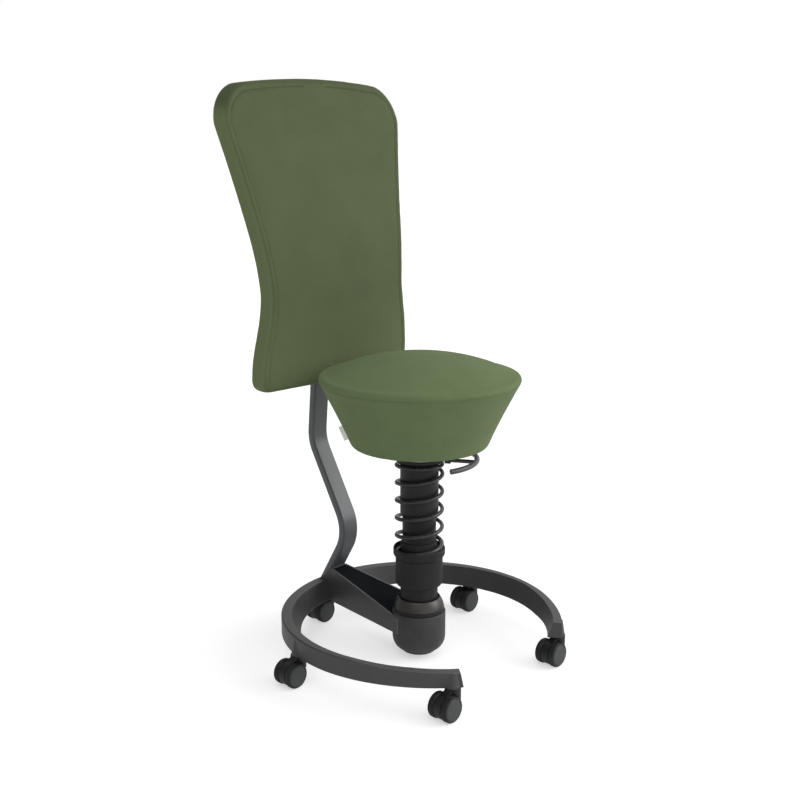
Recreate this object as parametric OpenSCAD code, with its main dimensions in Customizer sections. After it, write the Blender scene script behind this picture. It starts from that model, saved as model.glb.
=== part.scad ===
// Balance stool with backrest: a sprung column on a cross joint, in an open castor ring.
// Millimetres. Z is up, the sitter faces -Y, and the origin is on the floor under the column.

/* [Base ring] */
// Radius of the ring bar's middle line at the back and sides
ring_mid = 241; // [225:1:265]
// Radial width of the ring bar
ring_t = 14; // [13:0.5:20]
// Height of the ring's upper face
ring_top = 85; // [82:1:100]
// Height of the ring bar's section
ring_h = 34; // [29:1:36]
// Angle from the back at which the bar starts to spread
spread_from = 105; // [90:1:120]
// Radius of the bar's middle line where it spreads towards its ends
spread_r = 285; // [260:1:330]
// Half angle of the opening at the front
gap_half = 32.8; // [28:0.1:40]
// How much lower the bar is at its ends than at its sides
end_drop = 8; // [0:0.5:10]
// Bevel along the ring's upper edge
ring_bevel = 2.5; // [1:0.5:4]
// Radius of the ring's hole at its upper edge
hole_top_r = 234; // [228:0.5:240]
// Radius of the ring's hole at its foot
hole_foot_r = 218; // [208:0.5:232]
// How far the hole's middle lies in front of the column
hole_shift = 8; // [0:0.5:12]
// How far the foot of each end stands out beyond its top
end_lean = 7; // [2:1:12]
// Radius of a castor socket at its foot
socket_r = 12.5; // [10:0.5:14]

/* [Castors] */
// Wheel diameter
wheel_d = 44; // [40:1:46]
// Width of one wheel
wheel_w = 12; // [10:0.5:14]
// Gap between the two wheels of a castor
wheel_gap = 16; // [14:0.5:18]
// Trail from the stem to the axle
trail = 19.5; // [16:0.5:24]
// Stem diameter
stem_d = 11; // [8:0.5:11]
// How far the stem reaches into the ring
stem_reach = 21; // [18:1:26]
// Axle diameter
axle_d = 8; // [6:0.5:9]

/* [Arm and back bar] */
// Underside of the arm
arm_low = 47; // [44:1:52]
// Height of the arm at the foot of the bar
arm_back_z = 113.5; // [108:0.5:120]
// Height of the arm at the housing
arm_front_z = 79; // [70:0.5:82]
// Sheet thickness of the arm
arm_wall = 3; // [2:0.5:4]
// Width of the bar
bar_w = 38; // [34:1:44]
// Thickness of the bar
bar_t = 15; // [12:0.5:18]
// Corner radius of the bar's section
bar_corner = 4; // [2:0.5:5]
// Wall of the bar's tube
bar_wall = 2; // [1.5:0.5:3]
// Radius of the bar's bends along its middle
bend_r = 70; // [50:1:90]
// Depth of the lower bend, measured where its two legs would cross
knee_y = 170; // [165:1:178]
// Height of the lower bend
knee_z = 192; // [185:1:200]
// Depth of the upper bend
hip_y = 263; // [255:1:268]
// Height of the upper bend
hip_z = 356; // [345:1:365]
// Height of the bar's upper end
bar_end_z = 610; // [560:1:640]
// Forward lean of the bar's upper leg in degrees
bar_lean = 4.9; // [2:0.1:6]

/* [Lower housing and tilt joint] */
// Radius of the lower housing
housing_r = 48; // [47:0.5:52]
// Height of the housing's rim
housing_top = 84.5; // [83:0.5:86]
// Wall of the housing
housing_wall = 4.5; // [3.5:0.5:5]
// Height of the tilt centre
pivot_z = 83.4; // [82:0.1:85]
// Outer radius of the dome
dome_r = 46; // [45:0.5:47]
// Wall of the dome
dome_wall = 2.2; // [1.5:0.1:2.6]
// Height of the adjusting ring
tilt_ring_h = 7; // [5:0.5:7.5]
// Trunnion diameter of the cross
trunnion_d = 8; // [6:0.5:9]
// Distance from the joint's centre to the inner face of an ear
ear_in = 12; // [11:0.5:13]
// Thickness of an ear
ear_t = 6; // [5:0.5:7]

/* [Column] */
// Radius of the neck
neck_r = 33.6; // [32:0.1:35]
// Top of the neck
neck_top = 150; // [145:1:156]
// Radius of the stand tube
stand_r = 25; // [24:0.5:26]
// Top of the stand tube
stand_top = 300; // [290:1:302]
// Radius of the gas cylinder
gas_r = 14; // [13:0.5:15]
// Radius of the piston rod
rod_r = 5; // [4:0.5:6]
// Outer radius of the inner tube
inner_r = 30; // [28.5:0.5:31]
// Lower end of the cup's skirt
cup_low = 133; // [131:1:137]
// Outer radius of the cup
cup_r = 42.3; // [41:0.1:43]
// Height where the spring rests
spring_low = 190; // [186:1:192]
// Outer radius of the spring's rim
rim_r = 46.4; // [46.2:0.1:48]
// Upper edge of the spring's rim
rim_top = 204; // [202:1:210]
// Outer radius of the upper sleeve
sleeve_r = 34; // [33:0.1:35]
// Lower end of the upper sleeve
sleeve_low = 266; // [264:1:270]
// Travel of the seat on its spring
bounce = 50; // [40:1:50]

/* [Spring] */
// Wire diameter
wire_d = 7.3; // [5:0.1:8]
// Mean coil radius
coil_r = 40.6; // [39:0.1:40.8]
// Rise of one open coil
coil_pitch = 32.4; // [24:0.1:33]
// Height of the flange's underside, which the spring presses against
spring_high = 361; // [358:1:363]

/* [Seat] */
// Height of the cushion's underside
seat_low = 390.5; // [390:0.5:392]
// Radius of the cushion's underside
seat_foot_r = 122.8; // [116:0.1:126]
// Radius of the cushion's rim
seat_r = 176.4; // [165:0.1:178]
// Height of the cushion's rim
seat_rim_z = 512; // [500:1:520]
// Height of the crown in the middle
seat_crown_z = 552; // [540:1:556]
// Radius of the rim's rounding
seat_round = 9; // [5:1:12]
// Radius of the spring flange and of the pan's socket
flange_r = 44; // [42:0.5:46]
// Radius of the swivel pin
pin_r = 12; // [10:0.5:14]

/* [Height lever] */
// Rod diameter of the lever
lever_d = 9.5; // [7:0.5:10]
// Height of the lever's middle
lever_z = 366.5; // [366:0.5:368]
// Bearing of the lever's shank, in degrees from the front towards +X
lever_turn = 29; // [20:1:40]
// Half of the angle that the lever's handle sweeps round the column
lever_sweep = 45; // [30:1:60]
// Radius of the handle's bend
grip_r = 101; // [96:1:106]
// Diameter of the lever's shank
shank_d = 7; // [5:0.5:8]

/* [Backrest] */
// Lower edge of the backrest
back_low = 479; // [470:1:490]
// Crown of the backrest's upper edge
back_top = 1018; // [1000:1:1030]
// Thickness of the backrest
back_t = 40; // [34:1:46]
// Half width at the top
back_top_hw = 212; // [200:1:220]
// Half width at the waist
back_waist_hw = 165; // [155:1:175]
// Half width at the foot
back_foot_hw = 182; // [175:1:188]
// Depth of the lumbar curve's foremost point, at mid thickness
lumbar_y = 211; // [210:0.5:216]
// Height of the lumbar curve's foremost point
lumbar_z = 627; // [620:1:640]
// Slope of the upper backrest, depth over height
back_slope = 0.221; // [0.18:0.001:0.24]
// Swell of the front in the middle
back_crown = 5; // [0:0.5:6]

/* [Hidden] */
$fn = 64;
clear = 0.3;
slip = 0.05;
tall = 2000;

steel_grey = [0.22, 0.22, 0.22];
plastic_black = [0.11, 0.11, 0.11];
cover_black = [0.06, 0.06, 0.07];
zinc = [0.62, 0.63, 0.65];
rubber_black = [0.08, 0.08, 0.08];
fabric_green = [0.36, 0.42, 0.27];

ring_low = ring_top - ring_h;
ring_in = hole_top_r - hole_shift;
hole_slope = (hole_top_r - hole_foot_r) / ring_h;
arm_foot_y = ring_in - 1 - hole_slope * (ring_top - arm_low);
spread_shift = spread_r - ring_mid;
function mid_r(from_back) = let (a = max(0, from_back - spread_from))
    sqrt(pow(spread_r, 2) - pow(spread_shift * sin(a), 2)) - spread_shift * cos(a);
socket_top_r = 8;
// Bearing of each castor about the column, counted from +X
castor_at = [-55, 17, 90, 163, 235];
function off_back(n) = abs(castor_at[n - 1] - 90);

// The lower leg of the bar, the slanted leg and the upper leg as directions in the side view
bar_foot_y = 233.9;
dir_low = atan2(knee_z - ring_top, knee_y - bar_foot_y);
dir_mid = atan2(hip_z - knee_z, hip_y - knee_y);
dir_top = 90 + bar_lean;
tangent_low = bend_r * tan((dir_low - dir_mid) / 2);
tangent_top = bend_r * tan((dir_top - dir_mid) / 2);
mid_length = norm([hip_y - knee_y, hip_z - knee_z]);
top_length = (bar_end_z - hip_z) / sin(dir_top);

// Each straight leg runs this far into the bend beside it, and is this much slimmer
joint_lap = 1.5;
lap_step = 0.1;

// Where the bar stands on the arm and on the ring
half_foot = bar_t / 2 / sin(dir_low);
heel_y = bar_foot_y + half_foot;
toe_y = knee_y + (arm_back_z - knee_z) * cos(dir_low) / sin(dir_low) - half_foot;
arm_half = bar_w / 2;
arm_reach = 6;

cavity_r = housing_r - housing_wall;
ledge_z = 50;
yoke_floor = 58;
dome_low = housing_top + 0.4 + tilt_ring_h + 0.4;
collar_r = dome_r - 2.9;
tilt_most = 7.1;
mouth_z = sqrt(dome_r * dome_r - 37.4 * 37.4);
mouth_r = neck_r + mouth_z * sin(tilt_most) + 0.45;
skirt_r = dome_r - dome_wall - 0.4;
skirt_wall = 2.4;
skirt_low = 16;
yoke_disc_low = pivot_z + 14.6;
yoke_disc_top = yoke_disc_low + 6;
skirt_flange = 3;
trunnion_r = trunnion_d / 2;
ear_half = 8;
lift = 120;

inner_low = neck_top + 0.5;
inner_top = spring_high + 6 - bounce - 1;
cup_in = neck_r + 3;
cup_web = 8;
gas_low = 130;
gas_top = inner_top - 4;
sleeve_head = spring_high + 6;
sleeve_seat = 3;
flange_top = spring_high + 11;
rim_in = coil_r + wire_d / 2 + 0.4;
preload_floor = 4;
plate_low = flange_top + 4;
plate_top = plate_low + 4;
pan_low = plate_top + 0.2;
pan_top = seat_low + 9;
foot_round = 12;
pan_play = 2.8;
pan_r = seat_foot_r - foot_round - pan_play;
hub_r = pin_r + 6;
pin_top = seat_low + 1;
lever_r = lever_d / 2;
pivot_at = 52;

// Depth of the backrest's middle at a height: a parabola at the lumbar curve between two straight parts
lumbar_k = 0.000865;
lumbar_high = lumbar_z + back_slope / 2 / lumbar_k;
lumbar_foot = 550;
function lumbar(z) = lumbar_y + lumbar_k * pow(z - lumbar_z, 2);
function back_y(z) = z > lumbar_high ? lumbar(lumbar_high) + back_slope * (z - lumbar_high)
    : z > lumbar_foot ? lumbar(z)
    : lumbar(lumbar_foot) + 0.08 * (lumbar_foot - z);

// Half width of the backrest at a height, without its rounded corners
waist_z = 650;
wide_z = 940;
foot_z = 515;
function ease(t) = t * t * (3 - 2 * t);
function side_hw(z) = z >= waist_z
    ? back_waist_hw + (back_top_hw - back_waist_hw) * pow(min(1, (z - waist_z) / (wide_z - waist_z)), 1.35)
    : back_waist_hw + (back_foot_hw - back_waist_hw) * ease(min(1, (waist_z - z) / (waist_z - foot_z)));
corner_top = 72;
corner_low = 22;
crown_drop = 10;

// A rounded rectangle centred on the origin
module round_rect(w, h, r) {
    square([w - 2 * r, h], center = true);
    square([w, h - 2 * r], center = true);
    for (x = [-1, 1], y = [-1, 1]) translate([x * (w / 2 - r), y * (h / 2 - r)]) circle(r = r, $fn = 32);
}

// Turns a drawing of the side view, with Y to the right and Z up, to stand on the plane x = 0
module side_view() { rotate([90, 0, 90]) children(); }

// A plate of the side view, centred on x = 0
module side_plate(width) { side_view() translate([0, 0, -width / 2]) linear_extrude(width) children(); }

// A ring about the column's axis, from its section
module turned() { rotate_extrude() children(); }

module sleeve(r_out, r_in, low, high) {
    turned() translate([r_in, low]) square([r_out - r_in, high - low]);
}

function castor_xy(n) = mid_r(off_back(n)) * [cos(castor_at[n - 1]), sin(castor_at[n - 1])];
module castor_place(n) { translate([castor_xy(n)[0], castor_xy(n)[1], 0]) children(); }

// Section of the bar before the hole is cut, set in by a little where one stretch runs into the next
module ring_section(r, inset) {
    b = ring_bevel;
    o = ring_t / 2 - inset;
    top = ring_top - inset;
    low = ring_low + inset;
    translate([r, 0]) polygon([[-33, low], [o - 1, low], [o, low + 1], [o, top - b], [o - b, top],
        [-33, top]]);
}

// The hole widens upwards, so the bar is broad at its foot, and lies a little forward of the column.
// A second, narrower cut further forward thins the bar's ends.
module ring_hole(shift, less_top, less_foot) {
    b = 1.2;
    top = hole_top_r - less_top;
    foot = hole_foot_r - less_foot;
    translate([0, -shift, 0]) rotate_extrude($fn = 180) polygon([[0, ring_low - 1], [foot + b, ring_low - 1],
        [foot + b, ring_low], [foot + b * hole_slope, ring_low + b], [top - b * hole_slope, ring_top - b],
        [top + b, ring_top + b * 0.6], [0, ring_top + b * 0.6]]);
}

// Plane of the slanted face at an end of the ring, as a block that clears all beyond it
module end_cut(s) {
    r = mid_r(180 - gap_half);
    turn = castor_swing(180 - gap_half);
    mirror([s < 0 ? 1 : 0, 0, 0]) rotate([0, 0, gap_half - 90]) translate([r, 0, ring_top])
        rotate([0, 0, turn]) rotate([-asin(end_lean / ring_h), 0, 0]) translate([-50, -90, -80])
            cube([100, 90, 120]);
}
// Angle between the bar's direction and a true circle about the column
function castor_swing(from_back) = asin(spread_shift * sin(from_back - spread_from) / spread_r);

module base_ring() {
    over = 4;
    lap = 1;
    color(steel_grey) difference() {
        union() {
            difference() {
                union() {
                    rotate([0, 0, 90 - spread_from - lap])
                        rotate_extrude(angle = 2 * (spread_from + lap), $fn = 180)
                            ring_section(ring_mid, 0.05);
                    for (s = [-1, 1]) mirror([s < 0 ? 1 : 0, 0, 0]) rotate([0, 0, 90 - spread_from])
                        translate([-spread_shift, 0, 0]) rotate([0, 0, spread_from - 180 + gap_half - over])
                            rotate_extrude(angle = 180 - gap_half + over - spread_from, $fn = 180)
                                ring_section(spread_r, 0);
                }
                ring_hole(hole_shift, 0, 0);
                ring_hole(hole_shift + 20, 12, 9.5);
            }
            for (n = [1:5]) castor_place(n)
                translate([0, 0, ring_low]) cylinder(r1 = socket_r, r2 = socket_top_r, h = ring_h - 6);
        }
        for (s = [-1, 1]) end_cut(s);
        translate([-tall / 2, drop_from, ring_top]) rotate([drop_angle, 0, 0]) translate([0, -tall, 0])
            cube([tall, tall, 100]);
        for (n = [1:5]) castor_place(n) translate([0, 0, ring_low - 1])
            cylinder(r = stem_d / 2 + slip, h = stem_reach + 1.5);
    }
}
drop_from = -60;
drop_angle = atan2(end_drop, mid_r(180 - gap_half) * cos(gap_half) + drop_from);

// Plan of the arm: parallel at the bar, then spreading until its sides touch the housing
spread_phase = atan2(toe_y, arm_half);
spread = spread_phase - acos(housing_r / norm([arm_half, toe_y]));
module arm_plan(inset) {
    r = housing_r - inset;
    half = arm_half - inset;
    front = [r * cos(spread), r * sin(spread)];
    polygon([[half, heel_y + 5], [half, toe_y], front, [-front[0], front[1]], [-half, toe_y],
        [-half, heel_y + 5]]);
}

module arm_side() {
    polygon([[arm_reach, arm_low], [arm_foot_y, arm_low], [ring_in - 1, ring_top], [heel_y, ring_top],
        [toe_y, arm_back_z], [arm_reach, arm_front_z - 3]]);
}

module arm_inside() {
    w = arm_wall;
    polygon([[-1, arm_low + w], [arm_foot_y - 2.5, arm_low + w], [ring_in - 5, ring_top - w],
        [heel_y - 11, ring_top - w + 4], [toe_y - 1, arm_back_z - w - 1], [toe_y - 4, arm_back_z + 20],
        [-1, arm_back_z + 20]]);
}

module base_arm() {
    color(steel_grey) difference() {
        intersection() {
            linear_extrude(arm_back_z + 40) arm_plan(0);
            side_plate(4 * housing_r) arm_side();
        }
        intersection() {
            linear_extrude(arm_back_z + 40) arm_plan(arm_wall);
            side_plate(4 * housing_r) arm_inside();
        }
        cylinder(r = housing_r, h = 3 * arm_back_z, center = true);
    }
}

// The black cover lies just under the upper edges of the arm's sides
arm_slope = atan2(arm_back_z - arm_front_z + 3, toe_y - arm_reach);
module arm_cover() {
    color(cover_black) difference() {
        intersection() {
            linear_extrude(arm_back_z + 40) arm_plan(arm_wall + clear);
            side_plate(4 * housing_r) translate([toe_y - 1.5, arm_back_z - 1.1]) rotate(arm_slope)
                translate([-250, -2.6]) square([250, 2.6]);
        }
        cylinder(r = housing_r + clear, h = 3 * arm_back_z, center = true);
        translate([-100, toe_y - 1.6, 0]) cube([200, 60, 200]);
    }
}

// The bar along its middle line, as a solid of the given section
module bar_leg(y, z, dir, before, length, w, t, r) {
    side_view() translate([y, z, 0]) rotate([0, 0, dir]) translate([-before, 0, 0]) rotate([0, 90, 0])
        linear_extrude(before + length) round_rect(w - lap_step, t - lap_step, r);
}

module bar_bend(y, z, from, angle, w, t, r) {
    side_view() translate([y, z, 0]) rotate([0, 0, from])
        rotate_extrude(angle = angle, $fn = 96) translate([bend_r, 0]) rotate(90) round_rect(w, t, r);
}

module bar_path(w, t, r, short) {
    low_end = [knee_y - tangent_low * cos(dir_low), knee_z - tangent_low * sin(dir_low)];
    mid_end = [hip_y - tangent_top * cos(dir_mid), hip_z - tangent_top * sin(dir_mid)];
    mid_start = [knee_y + tangent_low * cos(dir_mid), knee_z + tangent_low * sin(dir_mid)];
    top_start = [hip_y + tangent_top * cos(dir_top), hip_z + tangent_top * sin(dir_top)];
    bar_leg(low_end[0], low_end[1], dir_low + 180, joint_lap, 110, w, t, r);
    bar_bend(low_end[0] + bend_r * sin(dir_low), low_end[1] - bend_r * cos(dir_low), dir_mid + 90,
        dir_low - dir_mid, w, t, r);
    bar_leg(mid_start[0], mid_start[1], dir_mid, joint_lap,
        mid_length - tangent_low - tangent_top + joint_lap, w, t, r);
    bar_bend(mid_end[0] - bend_r * sin(dir_mid), mid_end[1] + bend_r * cos(dir_mid), dir_mid - 90,
        dir_top - dir_mid, w, t, r);
    bar_leg(top_start[0], top_start[1], dir_top, joint_lap, top_length - tangent_top - short, w, t, r);
}

module below_foot(rise) {
    side_plate(4 * bar_w) polygon([[toe_y - 60, arm_back_z + rise], [toe_y, arm_back_z + rise],
        [heel_y, ring_top + rise], [heel_y + 60, ring_top + rise], [heel_y + 60, -50], [toe_y - 60, -50]]);
}

module back_bar() {
    color(steel_grey) difference() {
        bar_path(bar_w, bar_t, bar_corner, 0);
        difference() {
            bar_path(bar_w - 2 * bar_wall, bar_t - 2 * bar_wall, bar_corner - bar_wall, bar_wall);
            below_foot(bar_wall);
        }
        below_foot(0);
        for (z = bracket_holes) bar_hole(z);
    }
}

module lower_housing() {
    r = housing_r;
    wall = housing_wall;
    color(steel_grey) difference() {
        turned() polygon([[0, 13], [34, 13], [38.5, 15.5], [42, 19], [44.8, 23.5], [46.8, 28.5], [47.8, 34],
            [r, 40], [r, housing_top - 1.5], [r - 1.5, housing_top], [0, housing_top]]);
        translate([0, 0, ledge_z]) cylinder(r = cavity_r - 3.5, h = 60);
        translate([0, 0, yoke_floor + 12]) cylinder(r = collar_r + slip, h = 60);
        translate([0, 0, 30]) cylinder(r = cavity_r - 9, h = 60);
        translate([0, 0, 5]) cylinder(r = 28, h = 17);
        cylinder(r = 6 + slip, h = 60);
    }
}

module foot_cap() {
    color(rubber_black) difference() {
        turned() polygon([[0, 8], [29.5, 8], [32, 10.5], [33, 12.7], [27.8, 12.7], [27.8, 15], [0, 15]]);
        for (a = [0:60:300]) rotate([0, 0, a]) translate([32.5, 0, 4]) cylinder(r = 3.5, h = 8.5, $fn = 32);
        translate([0, 0, 5]) cylinder(r = 9, h = 5);
    }
}

module yoke_bolt() {
    color(zinc) union() {
        cylinder_at(6, 20, yoke_floor - 1);
        translate([0, 0, 15.5]) cylinder(r = 10, h = 6.5, $fn = 6);
    }
}

module cylinder_at(r, low, high) { translate([0, 0, low]) cylinder(r = r, h = high - low); }

// Two ears with a bore, standing on or hanging from a disc
module ears(from, to) {
    for (s = [-1, 1]) translate([s * (ear_in + ear_t / 2), 0, 0]) difference() {
        union() {
            translate([-ear_t / 2, -ear_half, min(from, to)]) cube([ear_t, 2 * ear_half, abs(to - from)]);
            translate([0, 0, pivot_z]) rotate([0, 90, 0]) cylinder(r = ear_half, h = ear_t, center = true);
        }
        translate([0, 0, pivot_z]) rotate([0, 90, 0])
            cylinder(r = trunnion_r + slip, h = 3 * ear_t, center = true);
    }
}

module lower_yoke() {
    color(zinc) difference() {
        union() {
            cylinder_at(cavity_r - 3.5 - 0.1, ledge_z, yoke_floor);
            ears(yoke_floor - 1, pivot_z);
        }
        cylinder_at(6 + slip, ledge_z - 5, yoke_floor - 1);
    }
}

module tilt_buffer() {
    color(rubber_black) turned()
        translate([0, yoke_floor]) let (c = cavity_r, i = c - 19.5, w = 7)
            polygon([[i, 0], [c - w, 0], [c - 5.5, 4], [c - w, 8], [c - 5, 12], [c - w, 16], [c - 5, 20],
                [c - w, 24], [c - 5.5, 28], [c - 7.5, 33], [c - 9.5, 35], [i + 2, 35], [i, 33]]);
}

module socket_dome() {
    color(plastic_black) difference() {
        union() {
            intersection() {
                translate([0, 0, pivot_z]) sphere(r = dome_r, $fn = 96);
                cylinder_at(2 * dome_r, dome_low, pivot_z + mouth_z);
            }
            cylinder_at(collar_r, yoke_floor + 12.2, dome_low + 1);
        }
        intersection() {
            translate([0, 0, pivot_z]) sphere(r = dome_r - dome_wall, $fn = 96);
            cylinder_at(2 * dome_r, dome_low + 1.4, pivot_z + 2 * dome_r);
        }
        cylinder_at(collar_r - 2.6, yoke_floor, dome_low + 3);
        cylinder_at(mouth_r, yoke_floor, pivot_z + 2 * dome_r);
    }
}

module tilt_ring() {
    low = housing_top + 0.4;
    color(plastic_black) turned()
        polygon([[collar_r + slip, low], [dome_r - 1, low], [dome_r - 0.3, low + 0.7],
            [dome_r - 0.3, low + tilt_ring_h - 0.7], [dome_r - 1, low + tilt_ring_h],
            [collar_r + slip, low + tilt_ring_h]]);
}

module tilt_cross() {
    reach = ear_in + ear_t;
    color(zinc) translate([0, 0, pivot_z]) union() {
        rotate([0, 90, 0]) cylinder(r = trunnion_r, h = 2 * reach, center = true);
        rotate([90, 0, 0]) cylinder(r = trunnion_r, h = 2 * reach, center = true);
        sphere(r = 9.5);
        rotate([0, 90, 0]) cylinder(r = 6.5, h = 2 * ear_in - 1, center = true);
        rotate([90, 0, 0]) cylinder(r = 6.5, h = 2 * ear_in - 1, center = true);
    }
}

module upper_yoke() {
    color(zinc) union() {
        cylinder_at(neck_r - 1.6, yoke_disc_low, yoke_disc_top);
        cylinder_at(stand_r - 3 - slip, yoke_disc_top - 1, yoke_disc_top + 12);
        rotate([0, 0, 90]) ears(pivot_z, yoke_disc_low + 1);
    }
}

module ball_skirt() {
    low = pivot_z + skirt_low;
    color(plastic_black) translate([0, 0, 0]) difference() {
        intersection() {
            translate([0, 0, pivot_z]) sphere(r = skirt_r, $fn = 96);
            cylinder_at(2 * skirt_r, low, yoke_disc_top + skirt_flange);
        }
        intersection() {
            translate([0, 0, pivot_z]) sphere(r = skirt_r - skirt_wall, $fn = 96);
            cylinder_at(2 * skirt_r, low - 20, yoke_disc_top + slip);
        }
        cylinder_at(stand_r + slip, low, yoke_disc_top + 20);
    }
}

module neck_sleeve() {
    low = yoke_disc_top + skirt_flange;
    color(plastic_black) turned() polygon([[stand_r + slip, low], [neck_r, low], [neck_r, neck_top - 2],
        [neck_r - 2, neck_top], [stand_r + slip, neck_top]]);
}

module stand_tube() {
    color(zinc) sleeve(stand_r, stand_r - 3, yoke_disc_top, stand_top);
}

module guide_bush() {
    out = stand_r - 3 - slip;
    rim = stand_r - 0.5;
    color(plastic_black) turned() polygon([[gas_r + slip, stand_top - 30], [out, stand_top - 30],
        [out, stand_top + 0.1], [rim, stand_top + 0.1], [rim, stand_top + 2],
        [gas_r + slip, stand_top + 2]]);
}

module piston_rod() {
    color(zinc) union() {
        cylinder_at(rod_r, yoke_disc_top + 12, stand_top - 2);
        cylinder_at(gas_r - 2 - slip, stand_top - 12, stand_top - 3);
    }
}

module gas_cylinder() {
    color(plastic_black) difference() {
        cylinder_at(gas_r, gas_low, gas_top);
        cylinder_at(gas_r - 2, gas_low + 12, gas_top - 6);
        cylinder_at(rod_r + slip, gas_low - 1, gas_top - 6);
    }
}

module inner_tube() {
    color(plastic_black) difference() {
        turned() polygon([[0, inner_low], [inner_r - 1, inner_low], [inner_r, inner_low + 1],
            [inner_r, inner_top - 2], [inner_r - 2, inner_top], [0, inner_top]]);
        cylinder_at(stand_r + slip, inner_low - 1, inner_top - 8);
        cylinder_at(gas_r + slip, inner_low, gas_top + 0.1);
    }
}

module spring_cup() {
    web_low = spring_low - preload_floor - cup_web;
    web_top = web_low + cup_web;
    color(plastic_black) turned() polygon([[cup_in, cup_low], [37.5, cup_low], [39.6, cup_low + 1.2],
        [41.2, cup_low + 3.4], [42.0, cup_low + 6.5], [cup_r, cup_low + 10], [cup_r, web_top - 1],
        [cup_r - 1, web_top], [inner_r + slip, web_top], [inner_r + slip, web_low - 6],
        [inner_r + 3, web_low - 6], [cup_in, web_low]]);
}

module preload_ring() {
    low = spring_low - preload_floor + 0.1;
    color(plastic_black) turned() polygon([[inner_r + 0.4, low], [cup_r, low], [rim_r - 1, low + 3.5],
        [rim_r, low + 6], [rim_r, rim_top - 2.5], [rim_r - 0.7, rim_top - 0.8], [rim_in + 0.5, rim_top],
        [rim_in, rim_top - 1], [rim_in, spring_low], [inner_r + 0.4, spring_low]]);
}

module bump_stop() {
    low = spring_low + 0.2;
    high = sleeve_low - bounce - 0.6;
    r = sleeve_r - 0.2;
    color(rubber_black) turned() polygon([[inner_r + slip, low], [r - 1, low], [r, low + 3],
        [r - 1.8, low + 8], [r - 0.6, low + 14], [r - 1.5, high - 2], [r - 2.4, high],
        [inner_r + slip, high]]);
}

// The spring is one tube: a half coil lies flat at the foot, then open coils, then a flat coil at the top
spring_turn = 262;
foot_flat = 0.655;
head_flat = 0.6;
wire_low = spring_low + wire_d / 2 + 0.15;
wire_high = spring_high - wire_d / 2 - 0.15;
open_turns = (wire_high - wire_low) / coil_pitch;
coil_turns = foot_flat + open_turns + head_flat;
curl_steps = 8;
coil_count = ceil(coil_turns * curl_steps);
function soft(t, w) = t <= -w ? 0 : t >= w ? t : pow(t + w, 2) / (4 * w);
function coil_z(n) = wire_low + coil_pitch * (soft(n - foot_flat, 0.12)
    - soft(n - foot_flat - open_turns, 0.12));
function coil_angle(n) = spring_turn + 360 * n;
function coil_point(n) = [coil_r * cos(coil_angle(n)), coil_r * sin(coil_angle(n)), coil_z(n)];
function coil_way(n) = let (d = 0.001, v = coil_point(n + d) - coil_point(n - d)) v / norm(v);
function tube_ring(p, way) = let (out = [p[0], p[1], 0] / norm([p[0], p[1]]), side = cross(way, out))
    [for (k = [0:5]) p + wire_d / 2 * (cos(60 * k) * out + sin(60 * k) * side)];
coil_ends = [coil_point(0), coil_point(coil_turns)];
coil_rings = concat(
    [tube_ring(coil_ends[0] - wire_d / 2 * coil_way(0), coil_way(0))],
    [for (i = [0:coil_count]) let (n = coil_turns * i / coil_count) tube_ring(coil_point(n), coil_way(n))],
    [tube_ring(coil_ends[1] + wire_d / 2 * coil_way(coil_turns), coil_way(coil_turns))]);

module tube(rings) {
    count = len(rings);
    sides = len(rings[0]);
    polyhedron(
        points = [for (r = rings) for (p = r) p],
        faces = concat(
            [for (i = [0:count - 2]) for (k = [0:sides - 1]) let (a = i * sides + k,
                b = i * sides + (k + 1) % sides) [a, b, b + sides]],
            [for (i = [0:count - 2]) for (k = [0:sides - 1]) let (a = i * sides + k,
                b = i * sides + (k + 1) % sides) [a, b + sides, a + sides]],
            [for (k = [1:sides - 2]) [0, k + 1, k]],
            [for (k = [1:sides - 2]) let (o = (count - 1) * sides) [o, o + k, o + k + 1]]));
}

// Least gap between two stretches of the wire that lie a half turn or more apart
coil_gap = min([for (i = [0:coil_count]) for (j = [i + curl_steps / 2:1:coil_count])
    norm(coil_point(coil_turns * i / coil_count) - coil_point(coil_turns * j / coil_count))]) - wire_d;

module coil_spring() {
    echo(spring_self_gap = coil_gap, spring_turns = coil_turns);
    color(plastic_black) tube(coil_rings);
}

module upper_sleeve() {
    color(plastic_black) turned() polygon([[inner_r + slip, sleeve_low], [sleeve_r - 1.5, sleeve_low],
        [sleeve_r, sleeve_low + 2.5], [sleeve_r, spring_high + sleeve_seat - slip],
        [inner_r + slip, spring_high + sleeve_seat - slip]]);
}

// The flange sits on the sleeve, takes the spring's push and carries the pin the seat turns on
module spring_flange() {
    color(plastic_black) turned() polygon([[sleeve_r + slip, spring_high],
        [flange_r - 5, spring_high], [flange_r - 4, spring_high + 1], [flange_r - 1.8, spring_high + 3.5],
        [flange_r, spring_high + 5], [flange_r, flange_top - 2.5], [flange_r - 2.5, flange_top],
        [pin_r, flange_top], [pin_r, pin_top - 1.5], [pin_r - 1.5, pin_top], [0, pin_top],
        [0, sleeve_head], [inner_r + slip, sleeve_head], [inner_r + slip, spring_high + sleeve_seat],
        [sleeve_r + slip, spring_high + sleeve_seat]]);
}

module thrust_washer() {
    color(zinc) sleeve(30, pin_r + slip, flange_top + 0.2, plate_low);
}

// Places of the four screws that hold the plate to the pan
plate_r = 60;
plate_hole = 36;
module plate_corners() {
    for (x = [-1, 1], y = [-1, 1]) translate([x * plate_hole, y * plate_hole, 0]) children();
}

module seat_plate() {
    color(steel_grey) difference() {
        union() {
            cylinder_at(plate_r, plate_low, plate_top);
            cylinder_at(hub_r, plate_low, pin_top);
        }
        cylinder_at(pin_r + slip, plate_low - 1, seat_low + 5);
        plate_corners() cylinder_at(3.2, plate_low - 1, seat_low);
    }
}

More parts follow.
